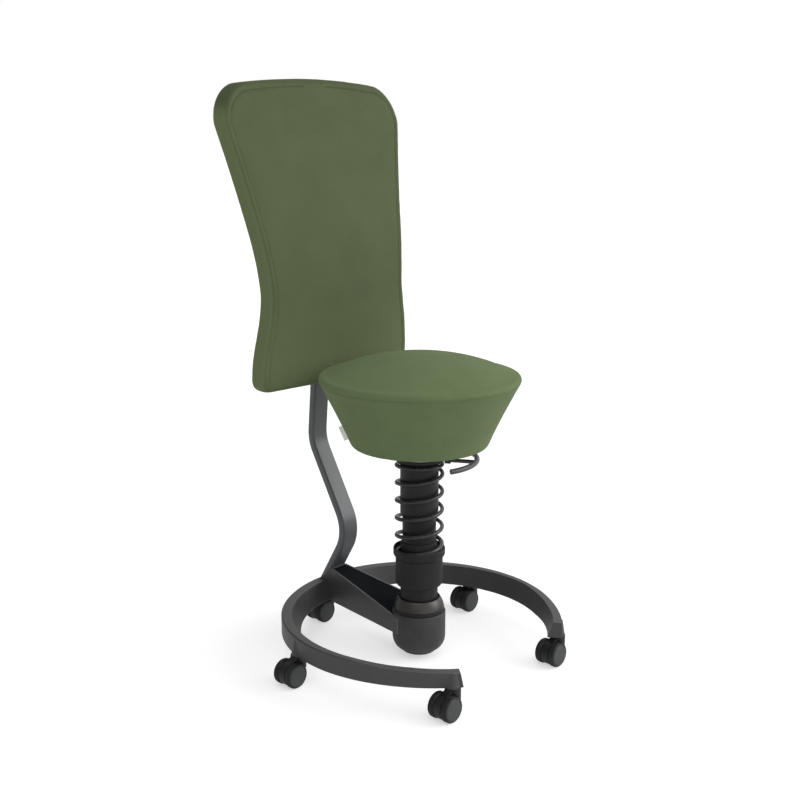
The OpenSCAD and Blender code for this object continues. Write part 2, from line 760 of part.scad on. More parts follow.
// The pan is a board let into the cushion, on a shallow cone that meets the plate
module seat_pan() {
    color(plastic_black) difference() {
        turned() polygon([[0, pin_top + 0.6], [hub_r + 0.5, pin_top + 0.6], [hub_r + 0.5, pan_low],
            [plate_r, pan_low], [pan_r - 20, seat_low - 4], [pan_r - 18, seat_low], [pan_r - 1, seat_low],
            [pan_r, seat_low + 1], [pan_r, pan_top], [0, pan_top]]);
        plate_corners() cylinder_at(2.5, pan_low - 1, seat_low + 4);
    }
}

// Section of the cushion: a drawn-in side, a rounded rim and a domed top
side_lean = atan2(seat_rim_z - seat_low, seat_r - seat_foot_r);
dome_rise = seat_crown_z - seat_rim_z - seat_round * 0.72;
rim_cx = seat_r - seat_round;
rim_cz = seat_rim_z - 1;
function arc(cx, cz, r, from, to, n) = [for (i = [0:n]) let (a = from + (to - from) * i / n)
    [cx + r * cos(a), cz + r * sin(a)]];
function dome_z(r) = seat_crown_z - dome_rise * pow(r / rim_cx, 2.15);
seat_draw = 1.5;
foot_arc = arc(seat_foot_r - foot_round, seat_low + foot_round, foot_round, -90, side_lean - 90, 5);
rim_arc = arc(rim_cx, rim_cz, seat_round, side_lean - 90, 74, 6);
side_foot = foot_arc[len(foot_arc) - 1];
side_rise = rim_arc[0] - side_foot;
module seat_cushion() {
    side = [for (i = [1:4]) let (k = i / 5) side_foot + side_rise * k + seat_draw * sin(180 * k)
        * [-sin(side_lean), cos(side_lean)]];
    top = [for (i = [0:6]) let (r = rim_cx * 0.96 * (1 - i / 6)) [r, dome_z(r)]];
    color(fabric_green) turned() polygon(concat([[0, pan_top + clear], [pan_r + clear, pan_top + clear],
        [pan_r + clear, seat_low]], foot_arc, side, rim_arc, top));
}

// A small blank tag sewn into the side of the cushion
module seat_tag() {
    turn = 146;
    k = 0.212;
    r = side_foot[0] + side_rise[0] * k - seat_draw * sin(180 * k) / sin(side_lean) + 0.3;
    color([0.85, 0.85, 0.85]) rotate([0, 0, turn]) translate([r, 0, side_foot[1] + side_rise[1] * k])
        rotate([0, 90 - side_lean, 0])
        translate([0, -0.6, -14]) cube([12, 1.2, 28]);
}

module lever_bracket() {
    half = shank_d / 2 + 0.8;
    color(plastic_black) rotate([0, 0, lever_turn - 90]) translate([pivot_at, 0, 0]) difference() {
        translate([-5, -7.5, lever_z - 4.2]) cube([10, 15, plate_low - lever_z + 4.18]);
        translate([-10, -half, lever_z - 10]) cube([30, 2 * half, plate_low - lever_z + 8]);
        translate([0, 0, lever_z]) rotate([90, 0, 0])
            cylinder(r = 2 + slip, h = 60, center = true, $fn = 24);
    }
}

// A shank carries the lever's handle, a rod bent round the column under the rim of the seat
module release_lever() {
    from = lever_turn - 90 - lever_sweep;
    color(plastic_black) translate([0, 0, lever_z]) union() {
        rotate([0, 0, from]) rotate_extrude(angle = 2 * lever_sweep, $fn = 128)
            translate([grip_r, 0]) circle(r = lever_r, $fn = 32);
        rotate([0, 0, lever_turn - 90]) translate([pivot_at - 7, 0, 0]) rotate([0, 90, 0])
            cylinder(r = shank_d / 2, h = grip_r - pivot_at + 7, $fn = 32);
        rotate([0, 0, lever_turn - 90]) translate([pivot_at, 0, 0]) rotate([90, 0, 0])
            cylinder(r = 2, h = 14, center = true, $fn = 24);
    }
}

// Rows of the backrest's height, close together where its corners round off
function corner_in(d, r) = d >= r ? 0 : r - sqrt(r * r - pow(r - d, 2));
function top_in(z) = let (d = back_top - z) d < crown_drop
    ? back_top_hw - (back_top_hw - corner_in(3.2, corner_top)) * sqrt(max(0.06, d / crown_drop))
    : corner_in(d - crown_drop + 3.2, corner_top);
function low_in(z) = corner_in(z - back_low + 1.2, corner_low);
function back_hw(z) = side_hw(z) - max(top_in(z), low_in(z), 0);
shell_inset = 26;
shell_t = 5;
back_h = back_top - back_low;
back_rows = concat([0, 3, 8, 15, 24, shell_inset - 0.4, shell_inset, 28, 33, 41],
    [for (i = [1:13]) 41 + i * (back_h - 41 - 62) / 13],
    [for (d = [50, 42, 35, 31, 30, 29.6, 24, 17, 11, 7, 4, 1.8, 0.5, 0]) back_h - d]);
shell_low = back_low + shell_inset;
shell_high = back_top - 30;
edge_r = 12;
function edge_in(d) = d >= edge_r ? 0 : edge_r - sqrt(edge_r * edge_r - pow(edge_r - d, 2));
function row_t(z, t) = t - 2 * min(edge_in(z - back_low + 1.5), t / 2 - 6)
    - 2 * min(edge_in(back_top - z + 1.5), t / 2 - 6);

// Half width of the shell let into the back of the cushion, and the depth of its recess
function shell_hw(z) = let (k = min(shell_high, max(shell_low, z))) back_hw(k) - shell_inset
    - corner_in(k - shell_low + 1, 18) - corner_in(shell_high - k + 1, 40);
function recess(z) = z > shell_low - 0.1 && z < shell_high + 0.1 ? shell_t + clear : 0;

// One row of the backrest: its front swells, its edges are rounded and its back takes the shell
function back_row(z, t, crown) = let (hw = back_hw(z), h = row_t(z, t) / 2, y = back_y(z),
    r = min(edge_r, h - 1), s = min(shell_hw(z) + clear, hw - r - 1), d = y + h - recess(z))
    concat(
        [for (i = [0:8]) let (x = -1 + i / 4) [x * (hw - r), y - h - crown * (1 - x * x), z]],
        [for (a = [-60, -30, 0]) [hw - r + r * cos(a), y - h + r + r * sin(a), z]],
        [for (a = [0, 30, 60]) [hw - r + r * cos(a), y + h - r + r * sin(a), z]],
        [[hw - r, y + h, z], [s + 0.2, y + h, z], [s, d, z], [0, d, z], [-s, d, z], [-s - 0.2, y + h, z],
            [-hw + r, y + h, z]],
        [for (a = [120, 150, 180]) [-hw + r + r * cos(a), y + h - r + r * sin(a), z]],
        [for (a = [180, 210, 240]) [-hw + r + r * cos(a), y - h + r + r * sin(a), z]]);

module loft(rows) {
    n = len(rows[0]);
    m = len(rows);
    polyhedron(
        points = [for (r = rows) for (p = r) p],
        faces = concat(
            [for (i = [0:m - 2]) for (k = [0:n - 1]) let (a = i * n + k, b = i * n + (k + 1) % n)
                [a, b + n, b]],
            [for (i = [0:m - 2]) for (k = [0:n - 1]) let (a = i * n + k, b = i * n + (k + 1) % n)
                [a, a + n, b + n]],
            [[for (k = [0:n - 1]) k]],
            [[for (k = [n - 1:-1:0]) (m - 1) * n + k]]));
}

module back_cushion() {
    color(fabric_green) loft([for (d = back_rows) back_row(back_low + d, back_t, back_crown)]);
}

function shell_row(z, at) = let (w = shell_hw(at), y = back_y(at) + back_t / 2)
    [[-w, y - shell_t, z], [w, y - shell_t, z], [w, y, z], [-w, y, z]];
module back_shell() {
    inner = [for (d = back_rows) if (d > shell_inset + 1 && d < shell_high - back_low - 0.5) back_low + d];
    color(plastic_black) difference() {
        loft(concat([shell_row(shell_low + clear, shell_low + clear)], [for (z = inner) shell_row(z, z)],
            [shell_row(shell_high - clear, shell_high - clear)]));
        for (z = bracket_holes) for (x = screw_x) shell_hole(x, z);
    }
}

// The bracket joins the bar's upper leg to the rear shell
bracket_holes = [530, 585];
screw_x = [-30, 30];
bracket_w = 84;
bracket_low = 512;
bracket_high = 602;
function bar_front(z) = hip_y - (z - hip_z) * tan(bar_lean) - bar_t / 2 / cos(bar_lean);
module bar_hole(z) {
    translate([0, bar_front(z) + 20, z]) rotate([90, 0, 0])
        cylinder(r = 3.2, h = 60, center = true, $fn = 32);
}
module shell_hole(x, z) {
    translate([x, back_y(z) + back_t / 2, z]) rotate([90, 0, 0]) cylinder(r = 2.6, h = 40, center = true,
        $fn = 32);
}

// Where the bracket's back face lies at a height
function bracket_face(z) = max(bar_front(z), back_y(z) + back_t / 2 + 1.5);

module back_bracket() {
    steps = 8;
    rows = [for (i = [0:steps]) bracket_low + (bracket_high - bracket_low) * i / steps];
    color(steel_grey) difference() {
        side_plate(bracket_w) polygon(concat([for (z = rows) [back_y(z) + back_t / 2 + 0.3, z]],
            [for (i = [steps:-1:0]) [bracket_face(rows[i]), rows[i]]]));
        for (z = bracket_holes) {
            for (x = screw_x) shell_hole(x, z);
            bar_hole(z);
        }
    }
}

module back_screws() {
    color(zinc) {
        for (z = bracket_holes) for (x = screw_x)
            translate([x, bracket_face(z), z]) rotate([90, 0, 0]) union() {
                translate([0, 0, -3.1]) cylinder(r = 5, h = 2.5, $fn = 32);
                translate([0, 0, -1]) cylinder(r = 2.5, h = 9, $fn = 32);
            }
        for (z = bracket_holes) translate([0, bar_front(z) + bar_t + 0.65, z]) rotate([90, 0, 0]) union() {
            translate([0, 0, -3]) cylinder(r = 5.5, h = 3, $fn = 32);
            translate([0, 0, -1]) cylinder(r = 3, h = bar_t + 3.5, $fn = 32);
        }
    }
}

// Castor parts, drawn with the stem on the local Z axis and the axle behind it along Y
axle_z = wheel_d / 2;
web_half = wheel_gap / 2 - 1;
web_r = wheel_d / 2 - 1.5;
housing_low = axle_z + 6;
neck_r_castor = 13.5;

module across(r) {
    translate([-trail, 0, axle_z]) rotate([90, 0, 0]) cylinder(r = r, h = 200, center = true, $fn = 72);
}

module castor_body(n) {
    color(steel_grey) castor_place(n) difference() {
        union() {
            difference() {
                cylinder_at(neck_r_castor, housing_low, ring_low - clear);
                across(axle_z + 1.2);
            }
            translate([0, web_half, 0]) rotate([90, 0, 0]) linear_extrude(2 * web_half) union() {
                translate([-trail, axle_z]) circle(r = web_r);
                polygon([[-trail, axle_z + web_r - 0.1], [-trail + 14, axle_z - 14], [8, housing_low - 1],
                    [11, housing_low + 8], [11, ring_low - 2], [-11, ring_low - 2]]);
            }
        }
        across(axle_d / 2 + 0.02);
        cylinder_at(stem_d / 2 - 1.5 + 0.02, axle_z + 14, ring_top);
    }
}

module castor_pins(n) {
    color(zinc) castor_place(n) {
        cylinder_at(stem_d / 2 - 1.5, axle_z + 14.2, ring_low);
        cylinder_at(stem_d / 2, ring_low - 0.2, ring_low + stem_reach);
        across_pin();
    }
}

module across_pin() {
    translate([-trail, 0, axle_z]) rotate([90, 0, 0])
        cylinder(r = axle_d / 2, h = wheel_gap + 2 * wheel_w - 5, center = true, $fn = 48);
}

// A wheel is a tread with a dished disc in its outer face
module castor_wheel(n, s) {
    r = wheel_d / 2;
    w = wheel_w;
    g = wheel_gap / 2;
    bore = axle_d / 2 + slip;
    color(rubber_black) castor_place(n) translate([-trail, 0, axle_z]) mirror([0, s < 0 ? 1 : 0, 0])
        rotate([-90, 0, 0]) rotate_extrude($fn = 72)
            polygon(concat([[bore, g + 0.5], [7.5, g + 0.5], [8.5, g + 2], [r - 4.5, g + 2], [r - 3.5, g]],
                arc(r - 2.5, g + 2.5, 2.5, -60, 0, 3), arc(r - 3.5, g + w - 3.5, 3.5, 0, 70, 4),
                [[r - 3, g + w - 0.4], [r - 3.4, g + w - 0.9], [8, g + w + 0.1], [0, g + w + 0.3],
                    [0, g + w - 2], [bore, g + w - 2]]));
}

module castor_1_body() { castor_body(1); }
module castor_1_pins() { castor_pins(1); }
module castor_1_wheel_left() { castor_wheel(1, -1); }
module castor_1_wheel_right() { castor_wheel(1, 1); }
module castor_2_body() { castor_body(2); }
module castor_2_pins() { castor_pins(2); }
module castor_2_wheel_left() { castor_wheel(2, -1); }
module castor_2_wheel_right() { castor_wheel(2, 1); }
module castor_3_body() { castor_body(3); }
module castor_3_pins() { castor_pins(3); }
module castor_3_wheel_left() { castor_wheel(3, -1); }
module castor_3_wheel_right() { castor_wheel(3, 1); }
module castor_4_body() { castor_body(4); }
module castor_4_pins() { castor_pins(4); }
module castor_4_wheel_left() { castor_wheel(4, -1); }
module castor_4_wheel_right() { castor_wheel(4, 1); }
module castor_5_body() { castor_body(5); }
module castor_5_pins() { castor_pins(5); }
module castor_5_wheel_left() { castor_wheel(5, -1); }
module castor_5_wheel_right() { castor_wheel(5, 1); }

base_ring();
base_arm();
arm_cover();
back_bar();
lower_housing();
foot_cap();
yoke_bolt();
lower_yoke();
tilt_buffer();
socket_dome();
tilt_ring();
tilt_cross();
upper_yoke();
ball_skirt();
neck_sleeve();
stand_tube();
guide_bush();
piston_rod();
inner_tube();
spring_cup();
gas_cylinder();
bump_stop();
preload_ring();
coil_spring();
upper_sleeve();
spring_flange();
thrust_washer();
seat_plate();
seat_pan();
seat_cushion();
seat_tag();
lever_bracket();
release_lever();
back_cushion();
back_shell();
back_bracket();
back_screws();
castor_1_body();
castor_1_pins();
castor_1_wheel_left();
castor_1_wheel_right();
castor_2_body();
castor_2_pins();
castor_2_wheel_left();
castor_2_wheel_right();
castor_3_body();
castor_3_pins();
castor_3_wheel_left();
castor_3_wheel_right();
castor_4_body();
castor_4_pins();
castor_4_wheel_left();
castor_4_wheel_right();
castor_5_body();
castor_5_pins();
castor_5_wheel_left();
castor_5_wheel_right();
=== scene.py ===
# Balance stool with backrest: upholstery, wire spring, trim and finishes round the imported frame.
# Metres, Z up, the sitter faces -Y and the origin is on the floor under the column.
import math

import bmesh
import bpy
from mathutils import Matrix, Vector
from mathutils.bvhtree import BVHTree
from mathutils.kdtree import KDTree


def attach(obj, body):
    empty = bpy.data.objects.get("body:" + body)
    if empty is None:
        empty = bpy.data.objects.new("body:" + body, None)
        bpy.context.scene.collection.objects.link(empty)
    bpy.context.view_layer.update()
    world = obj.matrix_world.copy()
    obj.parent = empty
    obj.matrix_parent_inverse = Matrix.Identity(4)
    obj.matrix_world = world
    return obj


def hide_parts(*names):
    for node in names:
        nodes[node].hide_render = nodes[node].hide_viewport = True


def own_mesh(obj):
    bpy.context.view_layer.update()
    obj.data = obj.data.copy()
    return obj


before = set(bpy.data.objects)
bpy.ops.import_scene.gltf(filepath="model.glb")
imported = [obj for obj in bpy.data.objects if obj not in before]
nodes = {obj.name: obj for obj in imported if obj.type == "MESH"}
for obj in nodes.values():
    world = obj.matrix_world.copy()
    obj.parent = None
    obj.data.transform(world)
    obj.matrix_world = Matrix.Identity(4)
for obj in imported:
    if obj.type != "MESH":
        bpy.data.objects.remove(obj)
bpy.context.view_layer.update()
scene = bpy.context.scene
mm = 0.001
print("frame loaded:", len(nodes), "nodes")


class Wire:
    # A socket that can be added, multiplied and so on; each sign adds its Math node
    def __init__(self, finish, socket):
        self.finish = finish
        self.socket = socket

    def maths(self, operation, *values):
        return self.finish.node("Math", {"operation": operation}, dict(enumerate(values)))

    def __add__(self, other):
        return self.maths("ADD", self, other)

    def __radd__(self, other):
        return self.maths("ADD", other, self)

    def __sub__(self, other):
        return self.maths("SUBTRACT", self, other)

    def __rsub__(self, other):
        return self.maths("SUBTRACT", other, self)

    def __mul__(self, other):
        return self.maths("MULTIPLY", self, other)

    def __rmul__(self, other):
        return self.maths("MULTIPLY", other, self)

    def sine(self):
        return self.maths("SINE", self)

    def step(self, low, high):
        # 0 at low and 1 at high, smooth between them; low may be the larger
        return self.finish.node("MapRange", {"interpolation_type": "SMOOTHSTEP"},
                                {"Value": self, "From Min": low, "From Max": high})


class Finish:
    # One node material; values that are the same all over are set on the shader's own sockets
    def __init__(self, name, **fixed):
        self.material = bpy.data.materials.new(name)
        self.material.use_nodes = True
        self.tree = self.material.node_tree
        self.tree.nodes.clear()
        self.shader = self.tree.nodes.new("ShaderNodeBsdfPrincipled")
        output = self.tree.nodes.new("ShaderNodeOutputMaterial")
        self.tree.links.new(self.shader.outputs[0], output.inputs["Surface"])
        for label, value in fixed.items():
            self.shader.inputs[label.replace("_", " ")].default_value = value
        self.place = self.node("TexCoord", output="Object")

    def node(self, kind, settings=None, values=None, output=0):
        # Adds any shader node and gives back one of its outputs
        made = self.tree.nodes.new("ShaderNode" + kind)
        for label, value in (settings or {}).items():
            setattr(made, label, value)
        for label, value in (values or {}).items():
            if isinstance(value, Wire):
                self.tree.links.new(value.socket, made.inputs[label])
            else:
                made.inputs[label].default_value = value
        return Wire(self, made.outputs[output])

    def split(self, vector):
        # The x, y and z of a vector
        ends = self.node("SeparateXYZ", {}, {0: vector}).socket.node.outputs
        return [Wire(self, end) for end in ends]

    def grain(self, scale, detail=2.0, rough=0.5, stretch=None):
        where = self.place
        if stretch:
            where = self.node("Mapping", {}, {"Vector": where, "Scale": stretch})
        return self.node("TexNoise", {},
                         {"Vector": where, "Scale": scale, "Detail": detail, "Roughness": rough})

    def cells(self, scale, feature="F1"):
        return self.node("TexVoronoi", {"feature": feature},
                         {"Vector": self.place, "Scale": scale}, "Distance")

    def blend(self, amount, first, second):
        # Mix of two colours; the colour sockets of a Mix node are numbers 6 and 7, its colour output is 2
        return self.node("Mix", {"data_type": "RGBA", "clamp_factor": True},
                         {0: amount, 6: first, 7: second}, 2)

    def paint(self, **links):
        for label, value in links.items():
            self.tree.links.new(value.socket, self.shader.inputs[label.replace("_", " ")])

    def roundedEdges(self, radius):
        # The normal as if the edges were rounded, and a mask that rises towards each edge
        rounded = self.node("Bevel", {"samples": 6}, {"Radius": radius})
        flat = self.node("NewGeometry", output="True Normal")
        straight = self.node("VectorMath", {"operation": "DOT_PRODUCT"}, {0: rounded, 1: flat}, "Value")
        return rounded, (1 - straight).step(0.03, 0.2)

    def relief(self, *layers, normal=None):
        # Each layer is a height, its depth in metres and its strength
        for height, depth, strength in layers:
            values = {"Height": height, "Distance": depth, "Strength": strength}
            if normal:
                values["Normal"] = normal
            normal = self.node("Bump", {}, values)
        self.paint(Normal=normal)


def tone(code, share=1.0):
    # An sRGB hex colour as a linear shader colour
    parts = [int(code[i:i + 2], 16) / 255 for i in (0, 2, 4)]
    return [share * (p / 12.92 if p <= 0.04045 else ((p + 0.055) / 1.055) ** 2.4) for p in parts] + [1.0]


clothLook = {
    # The backrest's tone is the seat's cloth made darker, which is painted shade
    "seatMid": "61704c", "backShadedMid": "50593c", "seamMid": "4c543b", "sheen": "8d9a70",
    "darker": 0.9, "lighter": 1.14, "patchShare": 0.2, "napShare": 0.3, "weaveShare": 0.25,
    # The side, top and low tones and their masks give the backrest's painted light and painted shade
    "sidePaintedLight": 1.5, "topPaintedShade": 0.66, "topShare": 0.8, "lowPaintedLight": 1.3, "lowShare": 0.7,
    "lowFrom": 0.66, "lowFull": 0.52, "seatTopFrom": 0.508, "seatTopFull": 0.516,
    "threadPitch": 0.9 * mm, "threadsAbout": 1100.0, "napScale": 1500.0, "mottleScale": 16.0,
    "patchScale": 6.0, "streakScale": 60.0,
    "mottleDepth": 0.6 * mm, "weaveDepth": 0.12 * mm, "napDepth": 0.15 * mm,
}


def upholsteryCloth(name, mid, roundAbout=False):
    # Fine felted cloth: an even tone with faint cloudy patches, a short nap and a close weave
    look = clothLook
    cloth = Finish(name, Roughness=0.92, Sheen_Weight=0.1, Sheen_Roughness=0.6, IOR=1.35)
    cloth.shader.inputs["Sheen Tint"].default_value = tone(look["sheen"])
    x, y, z = cloth.split(cloth.place)
    beat = 2 * math.pi / look["threadPitch"]
    if roundAbout:
        # On the seat the threads run round and up the side, and straight across the top
        bearing = cloth.node("Math", {"operation": "ARCTAN2"}, {0: y, 1: x})
        top = z.step(look["seatTopFrom"], look["seatTopFull"])
        warp = (bearing * look["threadsAbout"]).sine() * (1 - top) + (x * beat).sine() * top
        weft = (z * beat).sine() * (1 - top) + (y * beat).sine() * top
    else:
        warp = (x * beat).sine()
        weft = (z * beat).sine()
    nap = cloth.grain(look["napScale"], 3.0, 0.6)
    mottle = cloth.grain(look["mottleScale"], 4.0, 0.62)
    patches = cloth.grain(look["patchScale"], 2.0, 0.5)
    streak = cloth.grain(look["streakScale"], 3.0, 0.6, stretch=(1.0, 1.0, 0.25))
    weave = warp * weft
    dark, light = tone(mid, look["darker"]), tone(mid, look["lighter"])
    base = cloth.blend(mottle.step(0.3, 0.7), dark, tone(mid))
    base = cloth.blend(patches.step(0.4, 0.75) * look["patchShare"], base, light)
    base = cloth.blend(nap.step(0.45, 0.75) * look["napShare"], base, light)
    base = cloth.blend(weave.step(-0.2, -0.9) * look["weaveShare"], base, dark)
    if not roundAbout:
        # Painted light and shade on the backrest: painted light low down, where the seat shades it, and on
        # its side faces, and painted shade on what faces up along its top
        sideways, _, upward = cloth.split(cloth.node("NewGeometry", output="Normal"))
        low = z.step(look["lowFrom"], look["lowFull"]) * look["lowShare"]
        base = cloth.blend(low, base, tone(mid, look["lowPaintedLight"]))
        base = cloth.blend((sideways * sideways).step(0.25, 0.75), base, tone(mid, look["sidePaintedLight"]))
        base = cloth.blend(upward.step(0.2, 0.6) * look["topShare"], base, tone(mid, look["topPaintedShade"]))
    cloth.paint(Base_Color=base, Roughness=0.97 - 0.1 * streak)
    cloth.relief((mottle, look["mottleDepth"], 0.2), (weave, look["weaveDepth"], 0.5),
                 (nap, look["napDepth"], 0.6))
    return cloth.material


coatLook = {
    "darker": 0.9, "lighter": 1.12, "specks": 1.8, "speckShare": 0.3, "dust": "8a8a86", "dustShare": 0.12,
    "edge": "85878a", "edgeWearAndHighlightShare": 0.6, "edgeRadius": 1.3 * mm,
    "peelScale": 900.0, "cloudScale": 18.0, "speckScale": 2600.0, "dustScale": 140.0,
    "peelDepth": 0.05 * mm, "speckDepth": 0.02 * mm,
}


def powderCoat(name, colour, rough=0.42):
    # Satin powder coat: fine orange peel, a little dust on what faces up, and edges painted lighter, partly
    # as wear and partly as painted highlight
    look = coatLook
    coat = Finish(name, IOR=1.5, Specular_IOR_Level=0.55)
    rounded, edge = coat.roundedEdges(look["edgeRadius"])
    peel = coat.cells(look["peelScale"], "SMOOTH_F1")
    cloud = coat.grain(look["cloudScale"], 4.0, 0.6)
    speck = coat.grain(look["speckScale"])
    upward = coat.split(coat.node("NewGeometry", output="Normal"))[2].step(0.6, 1.0)
    dust = upward * coat.grain(look["dustScale"], 5.0, 0.7).step(0.45, 0.8)
    base = coat.blend(cloud.step(0.3, 0.75), tone(colour, look["darker"]), tone(colour, look["lighter"]))
    base = coat.blend(speck.step(0.6, 0.85) * look["speckShare"], base, tone(colour, look["specks"]))
    base = coat.blend(upward * look["dustShare"], base, tone(look["dust"]))
    base = coat.blend(dust * look["dustShare"], base, tone(look["dust"]))
    # Edges painted lighter: partly edge wear, partly a painted highlight
    base = coat.blend(edge * look["edgeWearAndHighlightShare"], base, tone(look["edge"]))
    coat.paint(Base_Color=base, Roughness=rough + 0.12 * cloud + 0.15 * dust)
    coat.relief((peel, look["peelDepth"], 0.35), (speck, look["speckDepth"], 0.4), normal=rounded)
    return coat.material


plasticLook = {
    "darker": 0.85, "lighter": 1.15, "rubbed": 1.5, "rubShare": 0.25, "cloudScale": 25.0, "rubScale": 7.0,
    "edge": "5c5e60", "edgeWearAndHighlightShare": 0.3, "edgeRadius": 0.9 * mm,
}


def mouldedPlastic(name, colour, rough, texture, depth, gloss=0.5):
    # Spark-eroded moulded plastic, rubbed lighter in places; the texture's depth is in millimetres
    look = plasticLook
    part = Finish(name, IOR=1.48, Specular_IOR_Level=gloss)
    rounded, edge = part.roundedEdges(look["edgeRadius"])
    spark = part.cells(texture)
    cloud = part.grain(look["cloudScale"], 3.0, 0.55)
    rub = part.grain(look["rubScale"], 4.0, 0.6).step(0.5, 0.75)
    base = part.blend(cloud.step(0.3, 0.75), tone(colour, look["darker"]), tone(colour, look["lighter"]))
    base = part.blend(rub * look["rubShare"], base, tone(colour, look["rubbed"]))
    # Edges painted lighter: partly edge wear, partly a painted highlight
    base = part.blend(edge * look["edgeWearAndHighlightShare"], base, tone(look["edge"]))
    part.paint(Base_Color=base, Roughness=rough + 0.1 * cloud - 0.1 * rub)
    part.relief((spark, depth * mm, 0.4), normal=rounded)
    return part.material


metalLook = {"darker": 0.85, "toolScale": 900.0, "stainScale": 30.0, "toolDepth": 0.01 * mm}


def smoothMetal(name, colour, rough, lines=(1.0, 1.0, 1.0)):
    # Turned or drawn metal with fine tool lines
    look = metalLook
    metal = Finish(name, Metallic=1.0)
    tool = metal.grain(look["toolScale"], 3.0, 0.6, stretch=lines)
    stain = metal.grain(look["stainScale"], 4.0, 0.6)
    base = metal.blend(stain.step(0.35, 0.75), tone(colour, look["darker"]), tone(colour))
    metal.paint(Base_Color=base, Roughness=rough + 0.15 * tool)
    metal.relief((tool, look["toolDepth"], 0.3))
    return metal.material


rubberLook = {
    "bloom": "3c3c3a", "bloomShare": 0.5, "bloomScale": 40.0, "grainScale": 1200.0, "grainDepth": 0.06 * mm,
}


def softRubber(name, colour, rough=0.75):
    # Matt rubber with a faint grey bloom
    look = rubberLook
    rubber = Finish(name, IOR=1.5, Specular_IOR_Level=0.35)
    fine = rubber.grain(look["grainScale"], 3.0, 0.6)
    bloom = rubber.grain(look["bloomScale"], 4.0, 0.65)
    base = rubber.blend(bloom.step(0.45, 0.8) * look["bloomShare"], tone(colour), tone(look["bloom"]))
    rubber.paint(Base_Color=base, Roughness=rough + 0.12 * bloom)
    rubber.relief((fine, look["grainDepth"], 0.4))
    return rubber.material


tagLook = {
    "clean": "fbfbf8", "soiled": "e2e2dd", "soilShare": 0.4, "soilScale": 90.0,
    "weaveScale": 2500.0, "weaveDepth": 0.05 * mm,
}


def tagWeave(name):
    # The label's white ribbon, slightly soiled in patches
    look = tagLook
    label = Finish(name, Roughness=0.9, Sheen_Weight=0.1)
    weave = label.grain(look["weaveScale"])
    soil = label.grain(look["soilScale"], 4.0, 0.6).step(0.4, 0.8) * look["soilShare"]
    label.paint(Base_Color=label.blend(soil, tone(look["clean"]), tone(look["soiled"])))
    label.relief((weave, look["weaveDepth"], 0.6))
    return label.material


finishes = {material.name: material for material in (
    powderCoat("ringCoat", "373737"),
    powderCoat("barCoat", "47494b", 0.3),
    mouldedPlastic("coverMatt", "101214", 0.8, 1100.0, 0.03, 0.06),
    mouldedPlastic("housingPlastic", "373737", 0.5, 700.0, 0.04, 0.35),
    mouldedPlastic("sleevePlastic", "1b1b1a", 0.45, 1200.0, 0.02, 0.3),
    mouldedPlastic("cupPlastic", "262626", 0.48, 900.0, 0.03, 0.16),
    mouldedPlastic("domePlastic", "2f2c29", 0.3, 1200.0, 0.015, 0.55),
    mouldedPlastic("innerTubePlastic", "0f0e0d", 0.45, 1200.0, 0.02, 0.3),
    mouldedPlastic("shellPlastic", "1e1f1f", 0.6, 420.0, 0.09),
    mouldedPlastic("castorHood", "141515", 0.42, 1000.0, 0.03, 0.4),
    mouldedPlastic("castorDisc", "353737", 0.38, 1000.0, 0.03, 0.45),
    powderCoat("springPaint", "151515", 0.2),
    powderCoat("leverPaint", "3a3a3a", 0.3),
    softRubber("rubberBlack", "1a1a1a"),
    softRubber("treadRubber", "141414", 0.55),
    smoothMetal("rodChrome", "c9cccf", 0.12, (1.0, 1.0, 0.02)),
    smoothMetal("zincSteel", "a9acae", 0.32),
    upholsteryCloth("seatCloth", clothLook["seatMid"], roundAbout=True),
    upholsteryCloth("backCloth", clothLook["backShadedMid"]),
    upholsteryCloth("seamThread", clothLook["seamMid"]),
    tagWeave("tagCloth"),
)}

wears = {
    "ringCoat": ["base_ring", "base_arm"],
    "barCoat": ["back_bar", "back_bracket"],
    "coverMatt": ["arm_cover"],
    "housingPlastic": ["lower_housing", "foot_cap"],
    "sleevePlastic": ["neck_sleeve", "upper_sleeve", "spring_flange", "seat_pan", "lever_bracket"],
    "cupPlastic": ["spring_cup", "tilt_ring", "ball_skirt", "preload_ring"],
    "domePlastic": ["socket_dome"],
    "innerTubePlastic": ["inner_tube", "guide_bush"],
    "shellPlastic": ["back_shell"],
    "rodChrome": ["piston_rod"],
    "zincSteel": ["yoke_bolt", "lower_yoke", "upper_yoke", "tilt_cross", "stand_tube", "gas_cylinder",
                  "thrust_washer", "seat_plate", "back_screws"] + [f"castor_{n}_pins" for n in range(1, 6)],
    "rubberBlack": ["tilt_buffer", "bump_stop"],
    "leverPaint": ["release_lever"],
    "springPaint": ["coil_spring"],
    "castorHood": [f"castor_{n}_body" for n in range(1, 6)],
    "castorDisc": [f"castor_{n}_wheel_{side}" for n in range(1, 6) for side in ("left", "right")],
    "seatCloth": ["seat_cushion"],
    "backCloth": ["back_cushion"],
    "tagCloth": ["seat_tag"],
}
for finish, worn in wears.items():
    for name in worn:
        mesh = nodes[name].data
        mesh.materials.clear()
        mesh.materials.append(finishes[finish])
print("finishes made:", len(finishes))


def newPiece(name, points, faces, body, finish):
    mesh = bpy.data.meshes.new(name)
    mesh.from_pydata([tuple(p) for p in points], [], faces)
    mesh.validate()
    mesh.materials.append(finishes[finish])
    piece = bpy.data.objects.new(name, mesh)
    scene.collection.objects.link(piece)
    fix = bmesh.new()
    fix.from_mesh(mesh)
    bmesh.ops.recalc_face_normals(fix, faces=fix.faces)
    fix.to_mesh(mesh)
    fix.free()
    smoothFaces(mesh)
    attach(piece, body)
    return piece


def smoothFaces(mesh):
    for face in mesh.polygons:
        face.use_smooth = True


